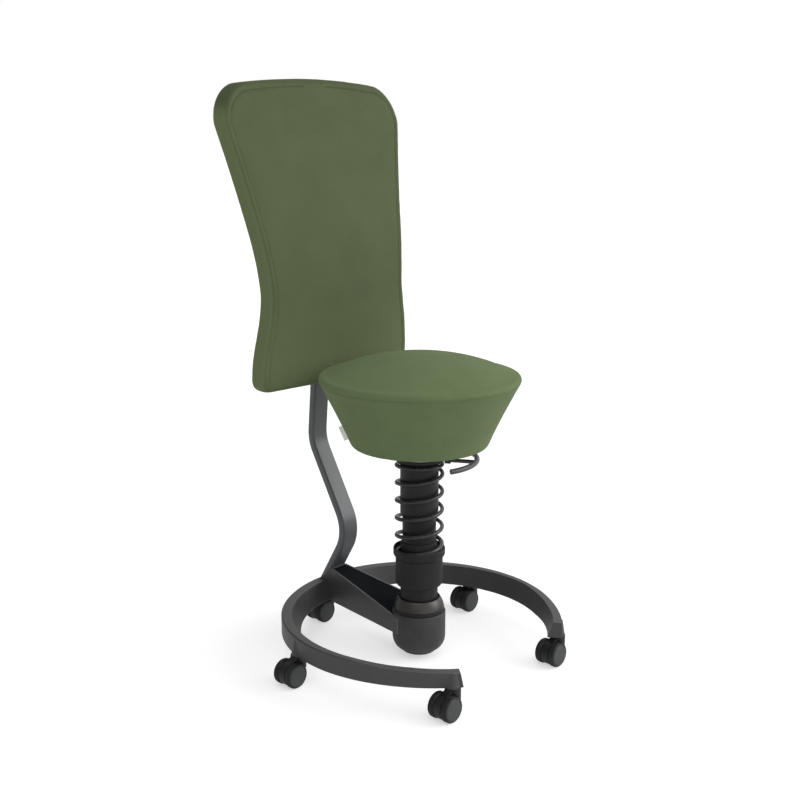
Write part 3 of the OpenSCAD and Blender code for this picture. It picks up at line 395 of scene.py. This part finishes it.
def surfaceOf(mesh):
    # The mesh as a tree that finds its nearest point or where a ray meets it
    return BVHTree.FromPolygons([v.co for v in mesh.vertices], [f.vertices[:] for f in mesh.polygons])


def ringFaces(rings, around, closeEnds=True):
    # Quads between closed rows of points; each row has the same number of points
    faces = []
    for i in range(rings - 1):
        for k in range(around):
            a, b = i * around + k, i * around + (k + 1) % around
            faces.append((a, b, b + around, a + around))
    if closeEnds:
        faces.append(tuple(reversed(range(around))))
        faces.append(tuple((rings - 1) * around + k for k in range(around)))
    return faces


def sweep(path, radii, sides):
    # A round rod along a list of points, with one radius for each
    rows = []
    count = len(path)
    lastSide = None
    for i, point in enumerate(path):
        way = (path[min(i + 1, count - 1)] - path[max(i - 1, 0)]).normalized()
        if lastSide is None:
            lastSide = way.cross(Vector((0, 0, 1)) if abs(way.z) < 0.9 else Vector((1, 0, 0))).normalized()
        side = (lastSide - way * lastSide.dot(way)).normalized()
        up = way.cross(side)
        rows += [point + radii[i] * (math.cos(2 * math.pi * k / sides) * side
                                     + math.sin(2 * math.pi * k / sides) * up) for k in range(sides)]
        lastSide = side
    return rows, ringFaces(count, sides)


def ease(value, low, high):
    # 0 below low, 1 above high, smooth between them
    t = min(1, max(0, (value - low) / (high - low)))
    return t * t * (3 - 2 * t)


plumpLook = {"voxel": 5 * mm, "frames": 20, "quality": 5, "mass": 0.3}


def plump(piece, free, look):
    # The cushion starts a little smaller and is blown up as cloth; free is 0 at sewn edges, 1 well inside
    finish = piece.data.materials[0]
    shape = surfaceOf(piece.data)
    mesher = piece.modifiers.new("remesh", "REMESH")
    mesher.mode = "VOXEL"
    mesher.voxel_size = plumpLook["voxel"]
    takeShape(piece)
    loose = []
    for vertex in piece.data.vertices:
        place, normal = shape.find_nearest(vertex.co)[:2]
        loose.append(free(place))
        vertex.co = place - normal * (look["smaller"] * loose[-1])
    start = [vertex.co.copy() for vertex in piece.data.vertices]
    inflate(piece, loose, look)
    moves = []
    for vertex, origin, amount in zip(piece.data.vertices, start, loose):
        way = vertex.co - origin
        moves.append(way.length)
        most = look["cap"] * amount
        if way.length > most:
            vertex.co = origin + way * (most / way.length)
    piece.vertex_groups.clear()
    finer = piece.modifiers.new("finer", "SUBSURF")
    finer.levels = finer.render_levels = 1
    takeShape(piece)
    piece.data.materials.clear()
    piece.data.materials.append(finish)
    smoothFaces(piece.data)
    print(piece.name, "padded:", len(piece.data.vertices), "points, moved", round(max(moves) * 1000, 1),
          "mm at most,", round(sum(moves) / len(moves) * 1000, 2), "mm on average")


def inflate(piece, loose, look):
    # The simulation itself, with gravity off
    pins = piece.vertex_groups.new(name="pins")
    for i, amount in enumerate(loose):
        pins.add([i], 1 - amount, "REPLACE")
    cloth = piece.modifiers.new("cloth", "CLOTH")
    fabric = cloth.settings
    fabric.quality = plumpLook["quality"]
    fabric.mass = plumpLook["mass"]
    fabric.tension_stiffness = fabric.compression_stiffness = look["stiffness"]
    fabric.shear_stiffness = look["stiffness"] / 2
    fabric.bending_stiffness = look["bending"]
    fabric.use_pressure = True
    fabric.uniform_pressure_force = look["pressure"]
    fabric.vertex_group_mass = "pins"
    fabric.effector_weights.gravity = 0
    cloth.collision_settings.use_collision = False
    cloth.point_cache.frame_start = 1
    cloth.point_cache.frame_end = plumpLook["frames"]
    for moment in range(1, plumpLook["frames"] + 1):
        scene.frame_set(moment)
    takeShape(piece)
    scene.frame_set(1)


def takeShape(piece):
    # The piece's mesh becomes what its modifiers make of it
    ready = piece.evaluated_get(bpy.context.evaluated_depsgraph_get())
    mesh = bpy.data.meshes.new_from_object(ready)
    mesh.name = piece.data.name
    piece.modifiers.clear()
    piece.data = mesh


def sewIn(piece, path, depth, width):
    # Pulls the cloth in along a seam, and gives the path back lying in its groove
    line = KDTree(len(path))
    for i, point in enumerate(path):
        line.insert(point, i)
    line.balance()
    mesh = piece.data
    for vertex, normal in [(v, v.normal.copy()) for v in mesh.vertices]:
        away = line.find(vertex.co)[2]
        if away < 3 * width:
            vertex.co -= normal * (depth * math.exp(-(away / width) ** 2))
    mesh.update()
    shape = surfaceOf(mesh)
    return [shape.find_nearest(point)[0] for point in path]


cordSides = 8


def makeSeam(name, piece, path, look, body, finish):
    # A thin cord lying in the groove that it pulls into the cloth
    path = sewIn(piece, path, look["seamDeep"], look["seamWide"])
    points, faces = sweep(path, [look["seamRadius"]] * len(path), cordSides)
    newPiece(name, points, faces, body, finish)


springSize = {
    "wire": 7.3 * mm, "coilRadius": 40.6 * mm, "pitch": 32.4 * mm, "low": 190 * mm, "high": 361 * mm,
    "gap": 0.15 * mm, "chamfer": 0.6 * mm, "turn": 262.0, "footFlat": 0.655, "headFlat": 0.6, "bend": 0.12,
    "stepsATurn": 48, "sides": 20, "keep": 0.708,
}


def makeSpring():
    # Flat first and last turns with the open turns between them
    s = springSize
    radius = s["wire"] / 2
    lowest = s["low"] + radius + s["gap"]
    highest = s["high"] - radius - s["gap"]
    openTurns = (highest - lowest) / s["pitch"]
    turns = s["footFlat"] + openTurns + s["headFlat"]

    def soft(t, w=s["bend"]):
        return 0 if t <= -w else t if t >= w else (t + w) ** 2 / (4 * w)

    def point(n):
        bearing = math.radians(s["turn"] + 360 * n)
        height = lowest + s["pitch"] * (soft(n - s["footFlat"]) - soft(n - s["footFlat"] - openTurns))
        return Vector((s["coilRadius"] * math.cos(bearing), s["coilRadius"] * math.sin(bearing), height))

    count = math.ceil(turns * s["stepsATurn"])
    path = [point(turns * i / count) for i in range(count + 1)]
    first = (path[0] - path[1]).normalized()
    last = (path[-1] - path[-2]).normalized()
    # The wire's ends are cut square with a small chamfer
    reach, near = s["wire"], s["wire"] - s["chamfer"]
    path = ([path[0] + first * reach, path[0] + first * near] + path
            + [path[-1] + last * near, path[-1] + last * reach])
    radii = [radius] * len(path)
    radii[0] = radii[-1] = radius - s["chamfer"]
    points, faces = sweep(path, radii, s["sides"])
    spring = newPiece("springWire", points, faces, "lift_column", "springPaint")
    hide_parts("coil_spring")
    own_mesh(spring)


makeSpring()
print("spring made")


seatSize = {
    "low": 390.5 * mm, "footRadius": 122.8 * mm, "rimRadius": 176.4 * mm, "rimHeight": 512 * mm,
    "crown": 552 * mm, "rimRound": 7.5 * mm, "rimDrop": 1 * mm, "rimRise": 0.72, "rimEnd": 76.0,
    "footRound": 12 * mm, "draw": 1.5 * mm, "topShare": 0.97, "topPower": 2.05,
    "panRadius": 108.3 * mm, "panDepth": 9.3 * mm, "panMiddle": 4 * mm, "panEdge": 0.5 * mm,
    "around": 180, "footSteps": 8, "rimSteps": 14, "sideSteps": 26, "topSteps": 26,
    "seamDrop": 6.5 * mm, "seamDeep": 0.7 * mm, "seamWide": 2.4 * mm, "seamRadius": 0.75 * mm,
}
seatPlump = {
    "pressure": 30.0, "stiffness": 4.0, "bending": 1.0, "smaller": 0.7 * mm, "cap": 2.2 * mm,
    "footFree": (14 * mm, 34 * mm), "rimSewn": 4 * mm, "rimFree": (6 * mm, 22 * mm), "rimBand": 30 * mm,
}
# The angle at which the seat's side rises
seatLean = math.atan2(seatSize["rimHeight"] - seatSize["low"],
                      seatSize["rimRadius"] - seatSize["footRadius"])


def seatProfile():
    # Radius and height from the hollow over the pan round the foot, up the side and over the top
    s = seatSize
    centre = (s["rimRadius"] - s["rimRound"], s["rimHeight"] - s["rimDrop"])
    rise = s["crown"] - s["rimHeight"] - s["rimRound"] * s["rimRise"]

    def arc(cx, cz, r, start, end, count):
        return [(cx + r * math.cos(start + (end - start) * i / count),
                 cz + r * math.sin(start + (end - start) * i / count)) for i in range(count + 1)]

    foot = arc(s["footRadius"] - s["footRound"], s["low"] + s["footRound"], s["footRound"],
               -math.pi / 2, seatLean - math.pi / 2, s["footSteps"])
    rim = arc(centre[0], centre[1], s["rimRound"], seatLean - math.pi / 2, math.radians(s["rimEnd"]),
              s["rimSteps"])
    a, b = foot[-1], rim[0]
    side = []
    for i in range(1, s["sideSteps"]):
        k = i / s["sideSteps"]
        pull = s["draw"] * math.sin(math.pi * k)
        side.append((a[0] + (b[0] - a[0]) * k - pull * math.sin(seatLean),
                     a[1] + (b[1] - a[1]) * k + pull * math.cos(seatLean)))
    top = []
    for i in range(s["topSteps"]):
        k = 1 - i / s["topSteps"]
        height = s["crown"] - rise * (s["topShare"] * k) ** s["topPower"]
        top.append((centre[0] * s["topShare"] * k, height))
    hollow = s["low"] + s["panDepth"]
    under = [(s["panMiddle"], hollow), (s["panRadius"], hollow), (s["panRadius"], s["low"] + s["panEdge"])]
    return under + foot + side + rim + top


def seatFree(p):
    # The cushion's edges at its foot and under its rim are sewn, and it rests on the pan
    s, look = seatSize, seatPlump
    footFrom, footTo = look["footFree"]
    atRim = math.hypot(p.x, p.y) > s["rimRadius"] - look["rimBand"]
    fromRim = abs(p.z - (s["rimHeight"] - look["rimSewn"])) if atRim else 1
    return ease(p.z, s["low"] + footFrom, s["low"] + footTo) * ease(fromRim, *look["rimFree"])


def makeSeat():
    around = seatSize["around"]
    profile = seatProfile()
    points = [Vector((r * math.cos(2 * math.pi * k / around), r * math.sin(2 * math.pi * k / around), z))
              for r, z in profile for k in range(around)]
    points.append(Vector((0, 0, seatSize["crown"])))
    faces = ringFaces(len(profile), around, closeEnds=False)
    faces.append(tuple(reversed(range(around))))
    base = (len(profile) - 1) * around
    faces += [(base + k, base + (k + 1) % around, len(points) - 1) for k in range(around)]
    seat = newPiece("seatUpholstery", points, faces, "seat", "seatCloth")
    plump(seat, seatFree, seatPlump)
    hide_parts("seat_cushion")
    return seat


def sideAt(z):
    # Radius of the seat's side at a height
    s = seatSize
    low = (s["footRadius"] - s["footRound"] + s["footRound"] * math.sin(seatLean),
           s["low"] + s["footRound"] * (1 - math.cos(seatLean)))
    high = (s["rimRadius"] - s["rimRound"] * (1 - math.sin(seatLean)),
            s["rimHeight"] - s["rimDrop"] - s["rimRound"] * math.cos(seatLean))
    k = (z - low[1]) / (high[1] - low[1])
    return low[0] + (high[0] - low[0]) * k - s["draw"] * math.sin(math.pi * k) / math.sin(seatLean)


def makeSeatSeam():
    # The sewn line under the seat's rim, in half degrees and on a little past its start
    s = seatSize
    height = s["rimHeight"] - s["seamDrop"]
    radius = sideAt(height)
    path = [Vector((radius * math.cos(math.radians(a / 2)), radius * math.sin(math.radians(a / 2)), height))
            for a in range(722)]
    makeSeam("seatSeam", seatUpholstery, path, s, "seat", "seatCloth")


labelSize = {
    "bearing": 146.0, "height": 421 * mm, "long": 27 * mm, "out": 7 * mm, "sunk": 4 * mm, "thick": 0.9 * mm,
    "fold": 0.35 * mm, "sway": 1.2 * mm, "swayTurn": 2.2, "swayStart": 0.4, "steps": 14, "outSteps": 8,
}


def makeLabel():
    # A small blank cloth tab folded over and sewn into the side
    s = labelSize
    bearing = math.radians(s["bearing"])
    out = Vector((math.cos(bearing), math.sin(bearing), 0))
    along = out * math.cos(seatLean) + Vector((0, 0, math.sin(seatLean)))
    away = out * math.sin(seatLean) - Vector((0, 0, math.cos(seatLean)))
    across = Vector((-math.sin(bearing), math.cos(bearing), 0))
    middle = out * sideAt(s["height"]) + Vector((0, 0, s["height"]))
    points = []
    for i in range(s["steps"] + 1):
        t = i / s["steps"]
        lift = (t - 0.5) * s["long"]
        thick = s["thick"] / 2 * (1 if 0 < i < s["steps"] else 0.5)
        edge = []
        for j in range(s["outSteps"] + 1):
            d = -s["sunk"] + (s["sunk"] + s["out"]) * j / s["outSteps"]
            bow = math.sin(s["swayTurn"] * t + s["swayStart"])
            edge.append((d, s["sway"] * max(0, d / s["out"]) ** 2 * bow))
        front = [(d, sway - thick) for d, sway in edge]
        tip = [(s["out"] + s["fold"], edge[-1][1])]
        rear = [(d, sway + thick) for d, sway in reversed(edge)]
        row = front + tip + rear
        points += [middle + along * lift + away * d + across * w for d, w in row]
    label = newPiece("seatLabel", points, ringFaces(s["steps"] + 1, len(row)), "seat", "tagCloth")
    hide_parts("seat_tag")


seatUpholstery = makeSeat()
makeLabel()
makeSeatSeam()
print("seat upholstered")


# Millimetres, apart from slopes and powers and the last line, which is in metres for makeSeam
backSize = {
    "low": 479.0, "top": 1018.0, "thick": 40.0, "topHalf": 212.0, "waistHalf": 165.0, "footHalf": 182.0,
    "lumbarY": 211.0, "lumbarZ": 627.0, "slope": 0.221, "lumbarCurve": 0.000865, "lumbarFoot": 550.0,
    "footSlope": 0.08, "waistZ": 650.0, "wideZ": 940.0, "widen": 1.35, "footZ": 515.0,
    "cornerTop": 72.0, "cornerLow": 22.0, "crownDrop": 10.0, "crownStart": 3.2, "crownLeast": 0.03,
    "lowStart": 1.2, "edge": 12.0, "edgeStart": 1.5, "edgeLeast": 6, "frontEdge": 9.0, "crown": 5.0,
    "shellInset": 26.0, "shellLow": 505.0, "shellTop": 988.0, "shellDip": 8.0, "shellBehind": 8,
    "shellRim": 2.5, "shellLowRound": 18, "shellTopRound": 40,
    "frontSteps": 40, "rearSteps": 20, "turnSteps": 8, "midRows": 56, "midAbove": 64,
    "footRows": (0, 0.3, 1, 2, 3.5, 5.5, 8, 11, 15, 20, 26),
    "topRows": (57, 50, 43, 37, 31, 26, 21, 17, 13, 10, 8, 6, 4.4, 3, 2, 1.2, 0.6, 0.25, 0),
    "seamIn": 13.0, "seamFrom": 3, "seamTo": 12, "seamGap": 1.5,
    "seamRows": 400, "seamTopRows": 120, "seamAcross": 20,
    "seamDeep": 0.9 * mm, "seamWide": 2.6 * mm, "seamRadius": 0.7 * mm,
}
backPlump = {
    "pressure": 4.0, "stiffness": 8.0, "bending": 2.0, "smaller": 1.5 * mm, "cap": 2.5 * mm,
    "frontFree": (2, 10), "sideFree": (5, 26), "topFree": (8, 28), "lowFree": (8, 26),
}


def backDepth(z):
    # Y of the backrest's middle at a height: nearly upright at the foot, then curved, then sloping straight
    b = backSize
    high = b["lumbarZ"] + b["slope"] / 2 / b["lumbarCurve"]

    def curve(h):
        return b["lumbarY"] + b["lumbarCurve"] * (h - b["lumbarZ"]) ** 2

    if z > high:
        return curve(high) + b["slope"] * (z - high)
    if z > b["lumbarFoot"]:
        return curve(z)
    return curve(b["lumbarFoot"]) + b["footSlope"] * (b["lumbarFoot"] - z)


def cornerIn(d, r):
    # How far a corner of radius r stands in at a distance d from its edge
    return 0 if d >= r else r - math.sqrt(max(0, r * r - (r - d) ** 2))


def backHalf(z):
    # Half width of the backrest at a height
    b = backSize
    if z >= b["waistZ"]:
        side = b["waistHalf"] + (b["topHalf"] - b["waistHalf"]) * min(
            1, (z - b["waistZ"]) / (b["wideZ"] - b["waistZ"])) ** b["widen"]
    else:
        t = min(1, (b["waistZ"] - z) / (b["waistZ"] - b["footZ"]))
        side = b["waistHalf"] + (b["footHalf"] - b["waistHalf"]) * t * t * (3 - 2 * t)
    d = b["top"] - z
    if d < b["crownDrop"]:
        crownHalf = b["topHalf"] - cornerIn(b["crownStart"], b["cornerTop"])
        topIn = b["topHalf"] - crownHalf * math.sqrt(max(b["crownLeast"], d / b["crownDrop"]))
    else:
        topIn = cornerIn(d - b["crownDrop"] + b["crownStart"], b["cornerTop"])
    return side - max(topIn, cornerIn(z - b["low"] + b["lowStart"], b["cornerLow"]), 0)


def backRow(z):
    # One closed row of the backrest at a height, along its front from -X to +X and back behind
    b = backSize
    half = backHalf(z)
    y = backDepth(z)

    def edgeIn(d):
        # The padding thins towards the top and foot edges
        near = 0 if d >= b["edge"] else b["edge"] - math.sqrt(b["edge"] ** 2 - (b["edge"] - d) ** 2)
        return min(near, b["thick"] / 2 - b["edgeLeast"])

    def turn(cx, cy, radius, quarter, steps):
        # Points on a rounded corner, which is one quarter of a turn
        for i in steps:
            a = quarter * math.pi / 2 + math.pi / 2 * i / count
            row.append((cx + radius * math.cos(a), cy + radius * math.sin(a)))

    lowIn, topIn = edgeIn(z - b["low"] + b["edgeStart"]), edgeIn(b["top"] - z + b["edgeStart"])
    thick = b["thick"] - 2 * lowIn - 2 * topIn
    h = thick / 2
    r = min(b["edge"], h - 1)
    f = min(b["frontEdge"], h - 1)
    flat = half - r
    count = b["turnSteps"]
    row = []
    for i in range(b["frontSteps"] + 1):
        x = -1 + 2 * i / b["frontSteps"]
        row.append((x * (half - f), y - h - b["crown"] * (1 - x * x)))
    turn(half - f, y - h + f, f, -1, range(1, count + 1))
    turn(flat, y + h - r, r, 0, range(count + 1))
    row += [(flat * (1 - 2 * i / b["rearSteps"]), y + h) for i in range(1, b["rearSteps"])]
    turn(-flat, y + h - r, r, 1, range(count + 1))
    turn(f - half, y - h + f, f, 2, range(count))
    return [Vector((px, py, z)) * mm for px, py in row]


def backFree(p):
    # The front swells between the seams; the edge and the side that takes the shell stay as sewn
    b, look = backSize, backPlump
    z = min(b["top"], max(b["low"], p.z * 1000))
    inFront = ease(backDepth(z) - p.y * 1000, *look["frontFree"])
    inside = ease(backHalf(z) - abs(p.x) * 1000, *look["sideFree"])
    return inFront * inside * ease(b["top"] - z, *look["topFree"]) * ease(z - b["low"], *look["lowFree"])


def makeBack():
    # Rows lie close together at the rounded foot and top
    b = backSize
    count = b["midRows"]
    start = b["low"] + b["footRows"][-1]
    span = b["top"] - b["midAbove"] - start
    heights = [b["low"] + d for d in b["footRows"]]
    heights += [start + span * i / count for i in range(1, count + 1)]
    heights += [b["top"] - d for d in b["topRows"]]
    rows = [backRow(z) for z in heights]
    points = [p for row in rows for p in row]
    back = newPiece("backUpholstery", points, ringFaces(len(rows), len(rows[0])), "base", "backCloth")
    plump(back, backFree, backPlump)
    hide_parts("back_cushion")
    return back


def makeBackSeam():
    # The seam round the front, a little in from its edge, from one lower corner over the top to the other
    b = backSize
    span = b["top"] - b["low"] - b["seamFrom"] - b["seamTo"]
    count, topCount, across = b["seamRows"], b["seamTopRows"], b["seamAcross"]
    heights = [b["low"] + b["seamFrom"] + span * i / count for i in range(count + 1)]
    heights += [b["top"] - b["seamTo"] * (1 - i / topCount) ** 2 for i in range(1, topCount + 1)]
    outline = [Vector((backHalf(z), z)) for z in heights]
    half = []
    for i in range(1, len(outline) - 1):
        way = (outline[i + 1] - outline[i - 1]).normalized()
        spot = outline[i] + Vector((-way.y, way.x)) * b["seamIn"]
        apart = not half or (spot - half[-1]).length > b["seamGap"]
        if spot.y > b["low"] + b["seamIn"] and spot.x > 0 and apart:
            half.append(spot)
    half += [Vector((half[-1].x * (1 - i / across), half[-1].y)) for i in range(1, across)]
    flat = [(x, z) for x, z in half] + [(0, half[-1].y)] + [(-x, z) for x, z in reversed(half)]
    shape = surfaceOf(backUpholstery.data)
    ahead = Vector((0, 1, 0))
    path = [shape.ray_cast(Vector((x * mm, -0.5, z * mm)), ahead)[0] for x, z in flat]
    makeSeam("backSeam", backUpholstery, path, b, "base", "seamThread")


def shellHalf(z):
    # Half width of the rear shell at a height
    b = backSize
    z = min(b["shellTop"], max(b["shellLow"], z))
    lowIn = cornerIn(z - b["shellLow"] + 1, b["shellLowRound"])
    topIn = cornerIn(b["shellTop"] - z + 1, b["shellTopRound"])
    return backHalf(z) - b["shellInset"] - lowIn - topIn


def letShellIn():
    # The cloth dips round the shell's rim and passes under it
    b = backSize
    for vertex in backUpholstery.data.vertices:
        x, y, z = vertex.co / mm
        if y < backDepth(min(b["top"], max(b["low"], z))) + b["shellBehind"]:
            continue
        inside = min(shellHalf(z) - abs(x), z - b["shellLow"], b["shellTop"] - z)
        vertex.co.y -= b["shellDip"] * mm * ease(inside, -b["shellRim"], b["shellRim"])
    backUpholstery.data.update()


backUpholstery = makeBack()
makeBackSeam()
letShellIn()
print("backrest upholstered")


# Millimetres and degrees
castorSize = {
    "bearings": (-55, 17, 90, 163, 235), "ringRadius": 241.0, "spreadRadius": 285.0, "spreadFrom": 105.0,
    "trail": 19.5, "wheelRadius": 22.0, "wheelWidth": 12.0, "halfGap": 8.0, "around": 96,
}


def castorPlace(n):
    # Middle of a castor's axle
    c = castorSize
    bearing = c["bearings"][n - 1]
    past = math.radians(max(0, abs(bearing - 90) - c["spreadFrom"]))
    shift = c["spreadRadius"] - c["ringRadius"]
    radius = math.sqrt(c["spreadRadius"] ** 2 - (shift * math.sin(past)) ** 2) - shift * math.cos(past)
    bearing = math.radians(bearing)
    x, y = radius * math.cos(bearing) - c["trail"], radius * math.sin(bearing)
    return Vector((x, y, c["wheelRadius"])) * mm


def wheelProfile():
    # From the bore round the tread to the middle of the outer disc: radius, distance from mid plane, finish
    c = castorSize
    r, inner, outer = c["wheelRadius"], c["halfGap"], c["halfGap"] + c["wheelWidth"]
    tread, disc, hood = range(3)

    def bend(cr, cy, radius, angles):
        return [(cr + radius * math.cos(math.radians(a)), cy + radius * math.sin(math.radians(a)), tread)
                for a in angles]

    profile = [(4.05, inner + 0.6, disc), (7.5, inner + 0.5, disc), (8.5, inner + 2, disc),
               (r - 5, inner + 2, disc), (r - 3.6, inner + 0.2, disc)]
    profile += bend(r - 2.6, inner + 2.7, 2.5, (-70, -50, -30, -12, 0))
    profile += [(r - 0.1, inner + 5, tread), (r - 0.1, inner + 7, tread)]
    profile += bend(r - 3.6, outer - 3.5, 3.5, (0, 12, 24, 36, 48, 60, 70))
    profile += [(r - 2.7, outer - 0.25, hood), (r - 3.0, outer - 1.1, hood), (r - 4.1, outer - 1.15, hood),
                (r - 4.5, outer - 0.4, disc), (r - 5.4, outer - 0.15, disc), (r - 8, outer - 0.1, disc),
                (8, outer + 0.1, disc), (4, outer + 0.2, disc), (0.05, outer + 0.22, disc)]
    return profile


def makeWheel(n, side):
    profile = wheelProfile()
    middle = castorPlace(n)
    turn = 1 if side == "left" else -1
    around = castorSize["around"]
    points = [middle + Vector((pr * math.cos(2 * math.pi * k / around), -turn * py,
                               pr * math.sin(2 * math.pi * k / around))) * mm
              for pr, py, _ in profile for k in range(around)]
    faces = ringFaces(len(profile), around)
    name = f"castorWheel{n}{side.capitalize()}"
    wheel = newPiece(name, points, faces, f"castor_{n}_{side}", "treadRubber")
    wheel.data.materials.append(finishes["castorDisc"])
    wheel.data.materials.append(finishes["castorHood"])
    for face in wheel.data.polygons:
        # The two end faces are disc; a band of quads takes the finish of its first row
        row = min(face.vertices) // around
        face.material_index = 1 if len(face.vertices) > 4 else profile[row][2]
    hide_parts(f"castor_{n}_wheel_{side}")


for n in range(1, 6):
    for side in ("left", "right"):
        makeWheel(n, side)
print("wheels made")


studio = {
    "skyMiddle": 0.55, "skySlope": 0.70, "skyLeast": 0.3, "brightSide": (36.0, 24.0), "skySeen": 1.0,
    "paper": 0.62, "paperGlow": 0.26, "paperSeen": 0.53, "paperHalf": 30,
    "lamps": (((44.0, 27.0), 3.3), ((-70.0, 58.0), 1.0)), "lampRadius": 18.0, "lampSoftness": 6.0,
    "cameraTurn": -0.83459, "cameraDip": 0.223224, "cameraHeight": 0.945480, "cameraAway": 2.088085,
    "cameraYaw": 0.0164169, "focalPixels": 1230.996, "imagePixels": 800, "sensor": 36,
}


def grey(share):
    return (share,) * 3 + (1,)


def towards(turn, rise):
    # Direction with a bearing counted from -Y to +X and a height, both in degrees
    turn, rise = math.radians(turn), math.radians(rise)
    return (math.sin(turn) * math.cos(rise), -math.cos(turn) * math.cos(rise), math.sin(rise))


def makeSky():
    # A pale studio, brighter in front on the right, with two large soft lamps; the camera sees plain white
    s = studio
    world = bpy.data.worlds.new("studioSky")
    scene.world = world
    world.use_nodes = True
    tree = world.node_tree
    tree.nodes.clear()

    def add(kind, settings, values):
        made = tree.nodes.new("ShaderNode" + kind)
        for label, value in settings.items():
            setattr(made, label, value)
        for label, value in values.items():
            if isinstance(value, bpy.types.NodeSocket):
                tree.links.new(value, made.inputs[label])
            else:
                made.inputs[label].default_value = value
        return made.outputs

    ray = add("TexCoord", {}, {})["Generated"]
    side = add("VectorMath", {"operation": "DOT_PRODUCT"}, {0: ray, 1: towards(*s["brightSide"])})["Value"]
    light = add("Math", {"operation": "MULTIPLY_ADD"}, {0: side, 1: s["skySlope"], 2: s["skyMiddle"]})[0]
    outer, inner = [math.cos(math.radians(s["lampRadius"] + way * s["lampSoftness"])) for way in (1, -1)]
    for place, glow in s["lamps"]:
        near = add("VectorMath", {"operation": "DOT_PRODUCT"}, {0: ray, 1: towards(*place)})["Value"]
        lamp = add("MapRange", {"interpolation_type": "SMOOTHSTEP"},
                   {"Value": near, "From Min": outer, "From Max": inner, "To Max": glow})[0]
        light = add("Math", {"operation": "ADD"}, {0: light, 1: lamp})[0]
    light = add("Math", {"operation": "MAXIMUM"}, {0: light, 1: s["skyLeast"]})[0]
    lit = add("Background", {}, {"Color": grey(1), "Strength": light})[0]
    seen = add("Background", {}, {"Color": grey(1), "Strength": s["skySeen"]})[0]
    fromCamera = add("LightPath", {}, {})["Is Camera Ray"]
    both = add("MixShader", {}, {0: fromCamera, 1: lit, 2: seen})[0]
    add("OutputWorld", {}, {"Surface": both})


def makeFloor():
    # White paper that glows a little more for the camera than for what stands on it
    s = studio
    half = s["paperHalf"]
    mesh = bpy.data.meshes.new("studioFloor")
    corners = [(-half, -half, 0), (half, -half, 0), (half, half, 0), (-half, half, 0)]
    mesh.from_pydata(corners, [], [(0, 1, 2, 3)])
    paper = Finish("studioPaper", Roughness=0.9, Specular_IOR_Level=0.1, Emission_Strength=1.0)
    paper.shader.inputs["Base Color"].default_value = grey(s["paper"])
    seen = paper.node("LightPath", output="Is Camera Ray")
    paper.paint(Emission_Color=paper.blend(seen, grey(s["paperGlow"]), grey(s["paperSeen"])))
    mesh.materials.append(paper.material)
    floor = bpy.data.objects.new("studioFloor", mesh)
    scene.collection.objects.link(floor)


def makeCamera():
    # The camera solved from the photograph
    s = studio
    turn = s["cameraTurn"]
    look = turn + s["cameraYaw"]
    level = Vector((-math.sin(look), math.cos(look), 0))
    right = Vector((math.cos(look), math.sin(look), 0))
    ahead = level * math.cos(s["cameraDip"]) + Vector((0, 0, -math.sin(s["cameraDip"])))
    up = right.cross(ahead)
    lens = bpy.data.cameras.new("photoCamera")
    lens.sensor_width = s["sensor"]
    lens.lens = s["focalPixels"] / s["imagePixels"] * s["sensor"]
    lens.clip_end = 100
    camera = bpy.data.objects.new("photoCamera", lens)
    spot = Vector((math.sin(turn) * s["cameraAway"], -math.cos(turn) * s["cameraAway"], s["cameraHeight"]))
    camera.matrix_world = Matrix((
        (right.x, up.x, -ahead.x, spot.x), (right.y, up.y, -ahead.y, spot.y),
        (right.z, up.z, -ahead.z, spot.z), (0, 0, 0, 1)))
    scene.collection.objects.link(camera)
    scene.camera = camera


makeFloor()
makeSky()
makeCamera()
scene.view_settings.view_transform = "Standard"
scene.view_settings.look = "None"
print("studio set")
